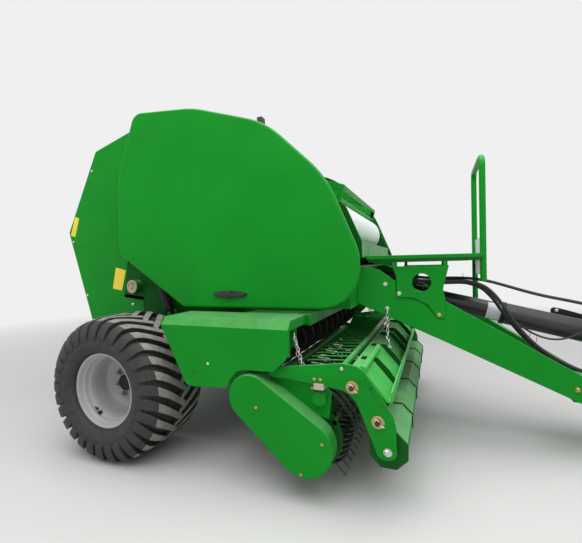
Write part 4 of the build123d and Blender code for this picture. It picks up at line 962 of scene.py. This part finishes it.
def roller_parts():
    """The crop roller: eight plates, paler on top from dust and painted sheen, between bands and end plates in
    painted shade, and a bolt at each end.
    """
    place = facing(ROLLER, LEFTWARD)
    eighth = math.tau / 16
    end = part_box("crop_roller")[1].y - 0.042
    edge = end - 0.004

    # Bands and end plates take the shaded green as painted shade
    def eight_sided(forms, y, half, inner, outer):
        section = ring_section(y - half, y + half, inner, outer)
        forms.lathe(section, place, 8, look=1, closed=True, turn=eighth)

    roller = Forms()
    roller.lathe([(-edge, PLATE_R), (edge, PLATE_R)], place, 8, turn=eighth)
    for index in range(BANDS):
        middle = end * (2 * (index + 0.8) / (BANDS + 0.6) - 1)
        for gap in (-0.0035, 0.0035):
            eight_sided(roller, middle + gap, 0.0025, PLATE_R - 0.004, BAND_R)
    for k in range(8):
        spot = ROLLER + outward(eighth + math.tau * k / 8) * (PLATE_R - 0.001)
        roller.tube([spot - LEFTWARD * edge, spot + LEFTWARD * edge], 0.0025, 6)
    for y in (-end, end):
        eight_sided(roller, y, 0.004, 0.012, BAND_R - 0.001)
    joined("roller_shell", roller, ["dusty", "green_dark"], "crop_roller", ["crop_roller"],
           sharp=20, bevel=0.0008)
    shaft = Forms()
    reach = ARM_Y + 0.014
    shaft.lathe([(-reach, 0.002), (-reach, 0.0135), (-reach + 0.003, 0.0158), (reach - 0.003, 0.0158),
                 (reach, 0.0135), (reach, 0.002)], place, 24)
    for side in BOTH:
        shaft.bolt(ROLLER + LEFTWARD * side * (ARM_Y + 0.001), (0, side, 0), 0.0185)
    joined("roller_shaft", shaft, "zinc", "crop_roller")


roller_parts()

FINGERS, FINGER_MARGIN = 22, 0.176
FINGER_PITCH = 2 * (ARM_Y - FINGER_MARGIN) / (FINGERS - 1)
# A finger's line: x and z from the guard's tube
FINGER = [(0.004, -0.008), (-0.020, -0.006), (-0.200, -0.016), (-0.240, -0.022)]


def wind_guard():
    """The tube with a pin at each end and its fingers, bent down a little at their tips."""
    forms = Forms()
    half = ARM_Y - ARM_THICK - 0.001
    tube = [(-half, 0.010), (-half, 0.0165), (-half + 0.002, 0.017), (half - 0.002, 0.017), (half, 0.0165),
            (half, 0.010)]
    forms.lathe(tube, facing(GUARD_TUBE, LEFTWARD), 24)
    pin = [(-0.002, 0.0095), (ARM_THICK + 0.006, 0.0095), (ARM_THICK + 0.007, 0.008)]
    for side in BOTH:
        forms.lathe(pin, facing(GUARD_TUBE + LEFTWARD * side * half, (0, side, 0)), 16, look=1)
    for index in range(FINGERS):
        y = (index - (FINGERS - 1) / 2) * FINGER_PITCH
        forms.tube(bent([GUARD_TUBE + Vector((x, y, z)) for x, z in FINGER], 0.02, 3), 0.0048, 8)
    joined("windguard_fingers", forms, ["green", "zinc"], "windguard", ["windguard"], sharp=40)


wind_guard()

# The tined reel and the hood over it
REEL = pivot("reel_spin")
REEL_HALF = PICKUP_Y - 0.067
TINES = 25
TINE_PITCH = 2 * (REEL_HALF - 0.073) / (TINES - 1)
COIL_R, COIL_STEPS = 0.0165, 19


def tine(forms, middle, out):
    """One spring tine: its clamp, its coil and its straight end."""
    beside = LEFTWARD.cross(out)
    line = []
    for step in range(COIL_STEPS):
        angle = math.tau * step / 8 + 0.3
        turned = out * (COIL_R * math.cos(angle)) + beside * (COIL_R * math.sin(angle))
        line.append(middle + turned + LEFTWARD * (0.0011 * step - 0.012))
    line += [middle + out * 0.040 + beside * 0.012, middle + out * 0.1315]
    forms.tube(line, 0.0034, 6, look=1)
    forms.box((-0.006, -0.004, -0.013), (0.006, 0.004, 0.016), 1, facing(middle - out * 0.002, out))


def reel():
    """The tined reel: four bars of spring tines with their coils, three discs and the shaft; the bars, discs and
    shaft in the shaded green as painted shade.
    """
    axis = facing(REEL, LEFTWARD)
    forms = Forms()
    shaft_end = PICKUP_Y - 0.002
    forms.lathe(ring_section(-shaft_end, shaft_end, 0.001, 0.030), axis, 28)
    disc = [(0, 0.030), (0, 0.163), (0.001, 0.165), (0.007, 0.165), (0.008, 0.163), (0.008, 0.030)]
    for y in (-REEL_HALF, 0.0, REEL_HALF - 0.008):
        forms.lathe([(y + depth, radius) for depth, radius in disc], axis, 40, closed=True)
    bar = ring_section(-REEL_HALF, REEL_HALF, 0.011, 0.013)
    for quarter in range(4):
        out = outward(math.radians(35 + 90 * quarter))
        spot = REEL + out * 0.148
        forms.lathe(bar, facing(spot, LEFTWARD), 16)
        for index in range(TINES):
            tine(forms, spot + LEFTWARD * ((index - (TINES - 1) / 2) * TINE_PITCH), out)
    joined("reel_tines", forms, ["green_dark", "dark_steel"], "reel", ["pickup_reel"], sharp=40)


reel()

RIB = [(1.545, 0.688), (1.618, 0.684), (1.668, 0.628), (1.722, 0.568), (1.734, 0.590), (1.700, 0.640),
       (1.640, 0.702), (1.560, 0.706)]


def hood_ribs():
    """Gussets between the hood's sheet and its front bar, in the shaded green as painted shade."""
    forms = Forms()
    for side in BOTH:
        for y in (0.10, 0.50, 0.84):
            forms.plate(RIB, side * y - 0.003, side * y + 0.003)
    joined("hood_ribs", forms, "green_dark", "pickup", bevel=0.001)


hood_ribs()

# The side panels' latches
LATCH_X, LATCH_Z = 0.720, 1.038
HANDLE = [(0.612, 1.026, 0.010), (0.612, 1.052, 0.010), (0.700, 1.062, 0.02), (0.770, 1.062, 0.02),
          (0.852, 1.050, 0.008), (0.852, 1.034, 0.008), (0.770, 1.016, 0.02), (0.700, 1.016, 0.02)]
GRIP = [(0.640, 1.028, 0.006), (0.640, 1.046, 0.006), (0.800, 1.052, 0.010), (0.846, 1.046, 0.004),
        (0.846, 1.038, 0.004), (0.800, 1.026, 0.010)]
BOSS = [(-0.001, 0.024), (0.004, 0.024), (0.006, 0.021), (0.006, 0.012), (0.004, 0.009), (0.004, 0.001)]


def latches():
    """The handle of each panel's latch with its raised grip, and the paddle in its round boss."""
    for side_name, side in SIDES:
        panel = "panel_" + side_name
        spot, _ = skin("panel_latch_" + side_name, LATCH_X, LATCH_Z, side)
        root = side * spot.y - 0.019
        handle = Forms()
        handle.plate(rounded(HANDLE), *across(side, root, root + 0.007))
        handle.plate(rounded(GRIP), *across(side, root + 0.006, root + 0.018))
        joined("latch_handle_" + side_name, handle, "guard", panel, ["panel_latch_" + side_name],
               bevel=0.0012)
        paddle = Forms()
        place = facing(spot - Vector((0, side * 0.002, 0)), (0, side, 0))
        paddle.lathe(BOSS, place, 28)
        paddle.box((-0.020, -0.005, 0.003), (0.020, 0.005, 0.009), 0, place)
        joined("latch_paddle_" + side_name, paddle, "guard", panel, bevel=0.0008)


latches()

# The net roll. The film's radius swings a little along the roll, as wound net does.
ROLL_X, ROLL_Z, ROLL_R = 1.320, 1.472, 0.1442
FILM_STEPS = 36
NET_END = [(0.0, 0.039), (0.0, 0.110), (0.002, 0.112), (0.004, 0.110), (0.004, 0.060), (0.010, 0.052),
           (0.010, 0.039)]


def net_parts():
    """The net roll wound on its core, with dark end plates whose darkness is painted shade."""
    centre = at(ROLL_X, 0, ROLL_Z)
    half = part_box("net_roll")[1].y
    end = [(half, 0.040), (half, 0.136), (half - 0.003, 0.1415)]
    film = []
    for index in range(FILM_STEPS + 1):
        y = (half - 0.006) * (2 * index / FILM_STEPS - 1)
        film.append((y, ROLL_R + 0.0006 * math.sin(index * 1.9)))
    section = [(-y, radius) for y, radius in end] + film + end[::-1]
    wound = Forms()
    wound.lathe(section, facing(centre, LEFTWARD), 72, closed=True)
    joined("net_winding", wound, "film", "root", ["net_roll"], sharp=40)
    ends = Forms()
    for side in BOTH:
        ends.lathe(NET_END, facing(centre + LEFTWARD * side * half, (0, side, 0)), 40, closed=True)
    # The end plates are dark as painted shade
    joined("net_end_plates", ends, "dark_steel", "root")


net_parts()

# The drive shaft slopes down from the gearbox
SHAFT_X, SHAFT_Z, SHAFT_SLOPE = 1.760, 0.992, -0.2296
SHAFT_WAY = Vector((1, 0, SHAFT_SLOPE)).normalized()
SHAFT_LABEL_X, LABEL_HALF = 2.300, 0.042
# The rings on the shaft's guard: x and the guard's radius there
SHAFT_RINGS = ((1.818, 0.0645), (1.836, 0.0645), (2.352, 0.0725), (2.366, 0.0725), (3.036, 0.0725))


def on_shaft(x):
    """The place on the shaft's axis at an X from the axle."""
    return at(x, 0, SHAFT_Z + SHAFT_SLOPE * (x - SHAFT_X))


def shaft_label():
    """A blank label bent round the guard, facing the machine's right."""
    label = Forms()
    middle = on_shaft(SHAFT_LABEL_X)
    out = Vector((0, -1, 0))
    over = out.cross(SHAFT_WAY)
    rows = []
    for angle in range(-60, 61, 10):
        turn = math.radians(angle)
        away = out * math.cos(turn) + over * math.sin(turn)
        rows.append([middle + SHAFT_WAY * reach + away * radius for radius, reach in (
            (0.0626, -LABEL_HALF), (0.0626, LABEL_HALF), (0.0640, LABEL_HALF), (0.0640, -LABEL_HALF))])
    label.rings(rows)
    joined("shaft_label", label, "label_white", "root")


def shaft_rings():
    """The raised rings at the ends of the guard's tubes and bells."""
    rings = Forms()
    for x, radius in SHAFT_RINGS:
        side, top = radius + 0.001, radius + 0.003
        section = [(-0.005, 0.06), (-0.005, side), (-0.003, top), (0.003, top), (0.005, side), (0.005, 0.06)]
        rings.lathe(section, facing(on_shaft(x), SHAFT_WAY), 48, closed=True)
    joined("shaft_rings", rings, "guard", "root")


shaft_label()
shaft_rings()

# The tailgate cylinders lean from their foot to the tailgate's eye, whose X and Z from the axle are given
EYE_X, EYE_Z = -0.240, 1.960
# The two glands: distance from the foot, outer radius, depth and bore
GLANDS = ((0.796, 0.0335, 0.030, 0.0188), (0.052, 0.0335, 0.018, 0.020))
PORTS = (0.100, 0.740)
PORT = [(0.028, 0.011), (0.040, 0.011), (0.040, 0.008), (0.047, 0.008), (0.047, 0.004)]


def cylinder_parts():
    """The tailgate cylinders' glands and ports."""
    for side_name, side in SIDES:
        foot = pivot("barrel_swing_" + side_name)
        axis = (at(EYE_X, foot.y, EYE_Z) - foot).normalized()
        forms = Forms()
        for reach, radius, deep, bore in GLANDS:
            section = [(-deep, bore), (-deep, radius), (-0.002, radius), (0.0, radius - 0.002), (0.0, bore)]
            forms.lathe(section, facing(foot + axis * reach, axis), 32, closed=True)
        for reach in PORTS:
            forms.lathe(PORT, facing(foot + axis * reach, (0.9, 0, 0.3)), 16)
        joined("cylinder_glands_" + side_name, forms, "black", "barrel_" + side_name)


cylinder_parts()

# The jack on the drawbar's left
JACK_X, JACK_Y = 3.010, 0.225
CRANK_REACH = 0.150
JACK_CAP = [(-0.002, 0.040), (0.006, 0.040), (0.010, 0.034), (0.010, 0.012), (0.030, 0.012), (0.032, 0.010),
            (0.032, 0.001)]
CRANK_LINE = [(0, -0.006, 0.024), (0, CRANK_REACH, 0.024), (0, CRANK_REACH, 0.130)]
CRANK_GRIP = [(0.0, 0.0065), (0.0, 0.012), (0.004, 0.014), (0.060, 0.014), (0.064, 0.012), (0.064, 0.0065)]


def jack_parts():
    """The jack's cap and the crank on top of it."""
    top = at(JACK_X, JACK_Y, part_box("jack_tube")[1].z)
    forms = Forms()
    forms.lathe(JACK_CAP, facing(top, UPWARD), 24)
    forms.tube(bent([top + Vector(place) for place in CRANK_LINE], 0.02), 0.006, 10)
    forms.lathe(CRANK_GRIP, facing(top + Vector((0, CRANK_REACH, 0.062)), UPWARD), 20, look=1, closed=True)
    joined("jack_crank", forms, ["zinc", "guard"], "root", bevel=0.0005)


jack_parts()

# Chains that hang between the fixed frame and the pickup: places at rest from the top, and the share of its
# height that each keeps when the pickup is up
BOX_CHAINS = [
    ("box_chain", 0.40, [(1.238, 1.050, 0.853), (1.251, 1.052, 0.790), (1.262, 1.060, 0.735),
                         (1.290, 1.075, 0.690)]),
    ("box_chain_end", 0.25, [(1.240, 1.056, 0.840), (1.262, 1.066, 0.780), (1.283, 1.078, 0.730),
                             (1.300, 1.084, 0.690)]),
]
BAR_CHAIN_Y, BAR_CHAIN_KEEP = 0.470, 0.15
# A bar chain's line: x, how far outwards from its bolt, and z
BAR_CHAIN = [(1.649, 0, 0.912), (1.649, 0.004, 0.820), (1.652, 0.014, 0.750), (1.662, 0.040, 0.716),
             (1.668, 0.085, 0.706)]


def hang_chain(name, forms):
    """Make a chain into a piece on the fixed frame, with a mesh of its own."""
    piece = joined(name, forms, "zinc", "root", sharp=60)
    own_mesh(piece)


def chains():
    """The chains at the side boxes, and those from the drawbar's arms to the pickup's hood."""
    for side_name, side in SIDES:
        for name, keep, places in BOX_CHAINS:
            line = [at(x, side * y, z) for x, y, z in places]
            forms = Forms()
            forms.chain(line, 0.030, 0.020, 0.0048)
            hang_chain(f"{name}_{side_name}", forms)
        line = [at(x, side * (BAR_CHAIN_Y + out), z) for x, out, z in BAR_CHAIN]
        forms = Forms()
        forms.bolt(at(1.649, side * (BAR_CHAIN_Y - 0.004), 0.925), (0, side, 0), 0.012)
        forms.chain(line, 0.034, 0.022, 0.0052)
        shackle = line[-1] + Vector((0.004, side * 0.014, -0.002))
        forms.link(shackle, (0.2, side, 0), (1, 0, 0), 0.034, 0.030, 0.006)
        hang_chain("bar_chain_" + side_name, forms)


chains()

# The hoses' ends. Rows of a profile are distance along the hose and radius.
HEAD_X = 1.468
UPRIGHT_ABOVE = 0.6
PLUG_BODY = [(0.084, 0.0128), (0.086, 0.0115), (0.090, 0.0115), (0.092, 0.0128), (0.104, 0.0128),
             (0.108, 0.0105), (0.1095, 0.0105), (0.1095, 0.002)]
DUST_RING = ring_section(0.062, 0.074, 0.0126, 0.0145)


def crimp(forms, place, radius):
    """The fitting where a hose leaves the head beam: a hexagon and a pressed sleeve."""
    wide = radius + 0.004
    forms.lathe([(0.0, 0.001), (0.0, wide), (0.010, wide), (0.010, wide * 0.9)], place, 6)
    forms.lathe([(0.010, 0.001), (0.010, wide * 0.86), (0.012, wide * 0.92), (0.028, wide * 0.92),
                 (0.030, wide * 0.86), (0.030, 0.001)], place, 24)


def plug(forms, place, seat):
    """A parked coupling: its neck up to the seat, a hexagon, the body with its grooves and a dust ring."""
    neck = [(0.0, 0.001), (0.0, 0.0115), (0.002, 0.0125), (seat - 0.014, 0.0125), (seat - 0.013, 0.013)]
    forms.lathe(neck, place, 24)
    forms.lathe(ring_section(seat - 0.012, seat, 0.002, 0.0165), place, 6)
    forms.lathe([(seat, 0.002), (seat, 0.0128)] + PLUG_BODY, place, 28)
    forms.lathe(DUST_RING, place, 28, look=1, closed=True)


def hose_ends():
    """Crimped fittings on the head beam, and the parked couplings. Hoses that end high end upright."""
    starts, plugs = Forms(), Forms()
    for _, radius, _, points in HOSES:
        _, start_y, start_z = points[0]
        crimp(starts, facing(at(HEAD_X, start_y, start_z), (1, 0, 0)), radius)
        upright = points[-1][2] > UPRIGHT_ABOVE
        way, seat = ((0, 0, -1), 0.045) if upright else ((1, 0, 0), 0.020)
        plug(plugs, facing(at(*points[-1]), way), seat)
    joined("hose_crimps", starts, "zinc", "root", ["hose_fittings"], sharp=40)
    joined("hose_plugs", plugs, ["zinc", "label_red"], "root", ["hose_couplings"], sharp=40)


hose_ends()

# Small parts on the drawbar, the platform, the side boxes and the top
BAR_LEAN = math.radians(11.3)
BAR_REAR_Y = 0.500
# The lower edge of the platform's brackets: x and z
BRACKET_EDGE = [
    (1.684, 1.186), (1.706, 1.133), (1.710, 1.038), (1.704, 0.995), (1.800, 0.994), (1.890, 0.950),
    (1.943, 0.866), (1.988, 0.863)]


def on_bar(x, z, side, depth):
    """A place at a depth out from the outer face of a drawbar's arm."""
    y = BAR_REAR_Y - (x - HEAD_X) * math.tan(BAR_LEAN) + depth / math.cos(BAR_LEAN)
    return at(x, side * y, z)


def bracket_welds():
    """Weld beads along the lower edges of the platform's brackets, in the shaded green as painted shade along
    those edges.
    """
    for side_name, side in SIDES:
        bead = Forms()
        bead.tube(bent([on_bar(x, z, side, 0.0035) for x, z in BRACKET_EDGE], 0.05), 0.0034, 6)
        joined("bracket_weld_" + side_name, bead, "green_dark", "root", sharp=60)


# Tie straps: the middle of each and the direction of the hoses there
TIES = (((2.475, -0.135, 0.712), (0.64, 0, -0.77)), ((2.510, -0.135, 0.673), (0.70, 0, -0.71)),
        ((2.100, -0.160, 1.078), (1.0, 0, -0.2)))
TIE_WIDE, TIE_HIGH, TIE_R = 0.030, 0.0165, 0.0016


def hose_ties():
    """The straps round the hoses, each with its cut end standing up."""
    ties = Forms()
    for place, way in TIES:
        middle = at(*place)
        over = Vector(way).normalized().cross(LEFTWARD)
        ring = [middle + LEFTWARD * (TIE_WIDE * wide) + over * (TIE_HIGH * high) for wide, high in around(24)]
        ties.tube(ring, TIE_R, 6, closed=True)
        top = middle + over * (-0.016 if over.z < 0 else 0.016)
        ties.tube([top, top + Vector((0.004, -0.004, 0.020)), top + Vector((0.005, -0.008, 0.042))], TIE_R, 6)
    joined("hose_ties", ties, "guard", "root")


def deck_skirt():
    """The strip that hangs below each long edge of the platform's deck, in the shaded green as painted shade."""
    skirt = Forms()
    low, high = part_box("platform_deck")
    for side in BOTH:
        y0, y1 = across(side, high.y - 0.009, high.y - 0.006)
        skirt.box((low.x + 0.01, y0, low.z - 0.020), (high.x - 0.03, y1, low.z + 0.002))
    joined("deck_skirt", skirt, "green_dark", "root", bevel=0.0008)


SLOT_X, SLOT_Z, SLOT_WIDE, SLOT_HIGH = 0.658, 0.619, 0.004, 0.011


def box_slots():
    """A black mark for the slot on the outer face of each side box: painted shade for the slot's dark inside."""
    marks = Forms()
    for side_name, side in SIDES:
        spot, _ = skin("side_box_" + side_name, SLOT_X, SLOT_Z, side)
        y0, y1 = across(side, side * spot.y - 0.0004, side * spot.y + 0.0006)
        marks.box((spot.x - SLOT_WIDE, y0, spot.z - SLOT_HIGH), (spot.x + SLOT_WIDE, y1, spot.z + SLOT_HIGH))
    joined("box_slots", marks, "guard", "root", bevel=0.0002)


# The lowest and the highest corner of the cap over the block on the machine's top
TOP_CAP = ((0.689, -0.331, 2.300), (0.731, -0.269, 2.353))


def top_block_cap():
    """The dark cap over the block on the machine's top."""
    cap = Forms()
    cap.box(*[at(*corner) for corner in TOP_CAP])
    joined("top_block_cap", cap, "guard", "root", bevel=0.004)


HOOK = [(2.652, 0.896, 0.022), (2.652, 0.848, 0.022), (2.930, 0.770, 0.02), (2.955, 0.690), (2.985, 0.690),
        (2.985, 0.800, 0.03), (2.720, 0.880, 0.02)]
HOOK_INNER_Y, HOOK_OUTER_Y = 0.0735, 0.0795


def shaft_hook():
    """The hook that parks the drive shaft, and the bolt through it."""
    hook = Forms()
    hook.plate(rounded(HOOK), HOOK_INNER_Y, HOOK_OUTER_Y)
    joined("shaft_hook", hook, "black", "root", bevel=0.001)
    pin = Forms()
    for y, way in ((HOOK_INNER_Y, -1), (HOOK_OUTER_Y, 1)):
        pin.bolt(at(2.686, y, 0.871), (0, way, 0), 0.010)
    joined("shaft_hook_bolt", pin, "zinc", "root")


bracket_welds()
hose_ties()
deck_skirt()
box_slots()
top_block_cap()
shaft_hook()

# Floor, backdrop and lamps
BACKDROP = (0.87, 0.87, 0.87, 1)
FLOOR = (0.60, 0.594, 0.585)
FLOOR_RADIUS = 60
FADE_START, FADE_END = 3.2, 9.0
SKY = (0.95, 0.97, 1.0, 1)
SKY_STRENGTH = 0.42
# Name, place, what it points at, size and power
LAMPS = [
    ("overhead", (0.5, -1.7, 5.8), (0.3, -0.6, 0.8), (8, 7), 520),
    ("side", (0.5, -4.4, 3.4), (0.3, -0.8, 1.0), (4, 3), 22),
]


def make_floor():
    """A pale floor that fades into the backdrop with distance."""
    made = Nodes("pale floor")
    made.set(Base_Color=FLOOR, Roughness=0.75, Specular_IOR_Level=0.2)
    glow = made.new("ShaderNodeEmission")
    glow.inputs["Color"].default_value = BACKDROP
    reach = made.new("ShaderNodeVectorMath", operation="LENGTH")
    made.link(made.place, reach.inputs[0])
    blend = made.new("ShaderNodeMixShader")
    made.link(made.ranged(reach.outputs["Value"], FADE_START, FADE_END, 0.0, 1.0), blend.inputs[0])
    made.link(made.shader.outputs[0], blend.inputs[1])
    made.link(glow.outputs[0], blend.inputs[2])
    made.link(blend.outputs[0], made.tree.nodes["Material Output"].inputs["Surface"])
    bpy.ops.mesh.primitive_circle_add(vertices=96, radius=FLOOR_RADIUS, fill_type="NGON", location=(0, 0, 0))
    floor = bpy.context.object
    floor.name = "floor"
    floor.data.materials.append(made.material)


def make_world():
    """A sky that lights the part, and a plain backdrop where the camera or a glossy surface sees it."""
    world = bpy.data.worlds.new("studio")
    bpy.context.scene.world = world
    world.use_nodes = True
    nodes, link = world.node_tree.nodes, world.node_tree.links.new
    back = nodes["Background"]
    back.inputs["Color"].default_value = SKY
    back.inputs["Strength"].default_value = SKY_STRENGTH
    seen = nodes.new("ShaderNodeBackground")
    seen.inputs["Color"].default_value = BACKDROP
    path = nodes.new("ShaderNodeLightPath")
    either = nodes.new("ShaderNodeMath")
    either.operation = "MAXIMUM"
    link(path.outputs["Is Camera Ray"], either.inputs[0])
    link(path.outputs["Is Glossy Ray"], either.inputs[1])
    blend = nodes.new("ShaderNodeMixShader")
    for socket, source in enumerate((either, back, seen)):
        link(source.outputs[0], blend.inputs[socket])
    link(blend.outputs[0], nodes["World Output"].inputs["Surface"])


def make_lamp(name, place, target, size, power):
    data = bpy.data.lights.new(name, "AREA")
    data.shape = "RECTANGLE"
    data.size, data.size_y = size
    data.energy = power
    lamp = bpy.data.objects.new(name, data)
    bpy.context.scene.collection.objects.link(lamp)
    lamp.location = place
    lamp.rotation_euler = (Vector(target) - Vector(place)).to_track_quat("-Z", "Y").to_euler()


bpy.context.scene.view_settings.view_transform = "Standard"
make_floor()
make_world()
for lamp in LAMPS:
    make_lamp(*lamp)
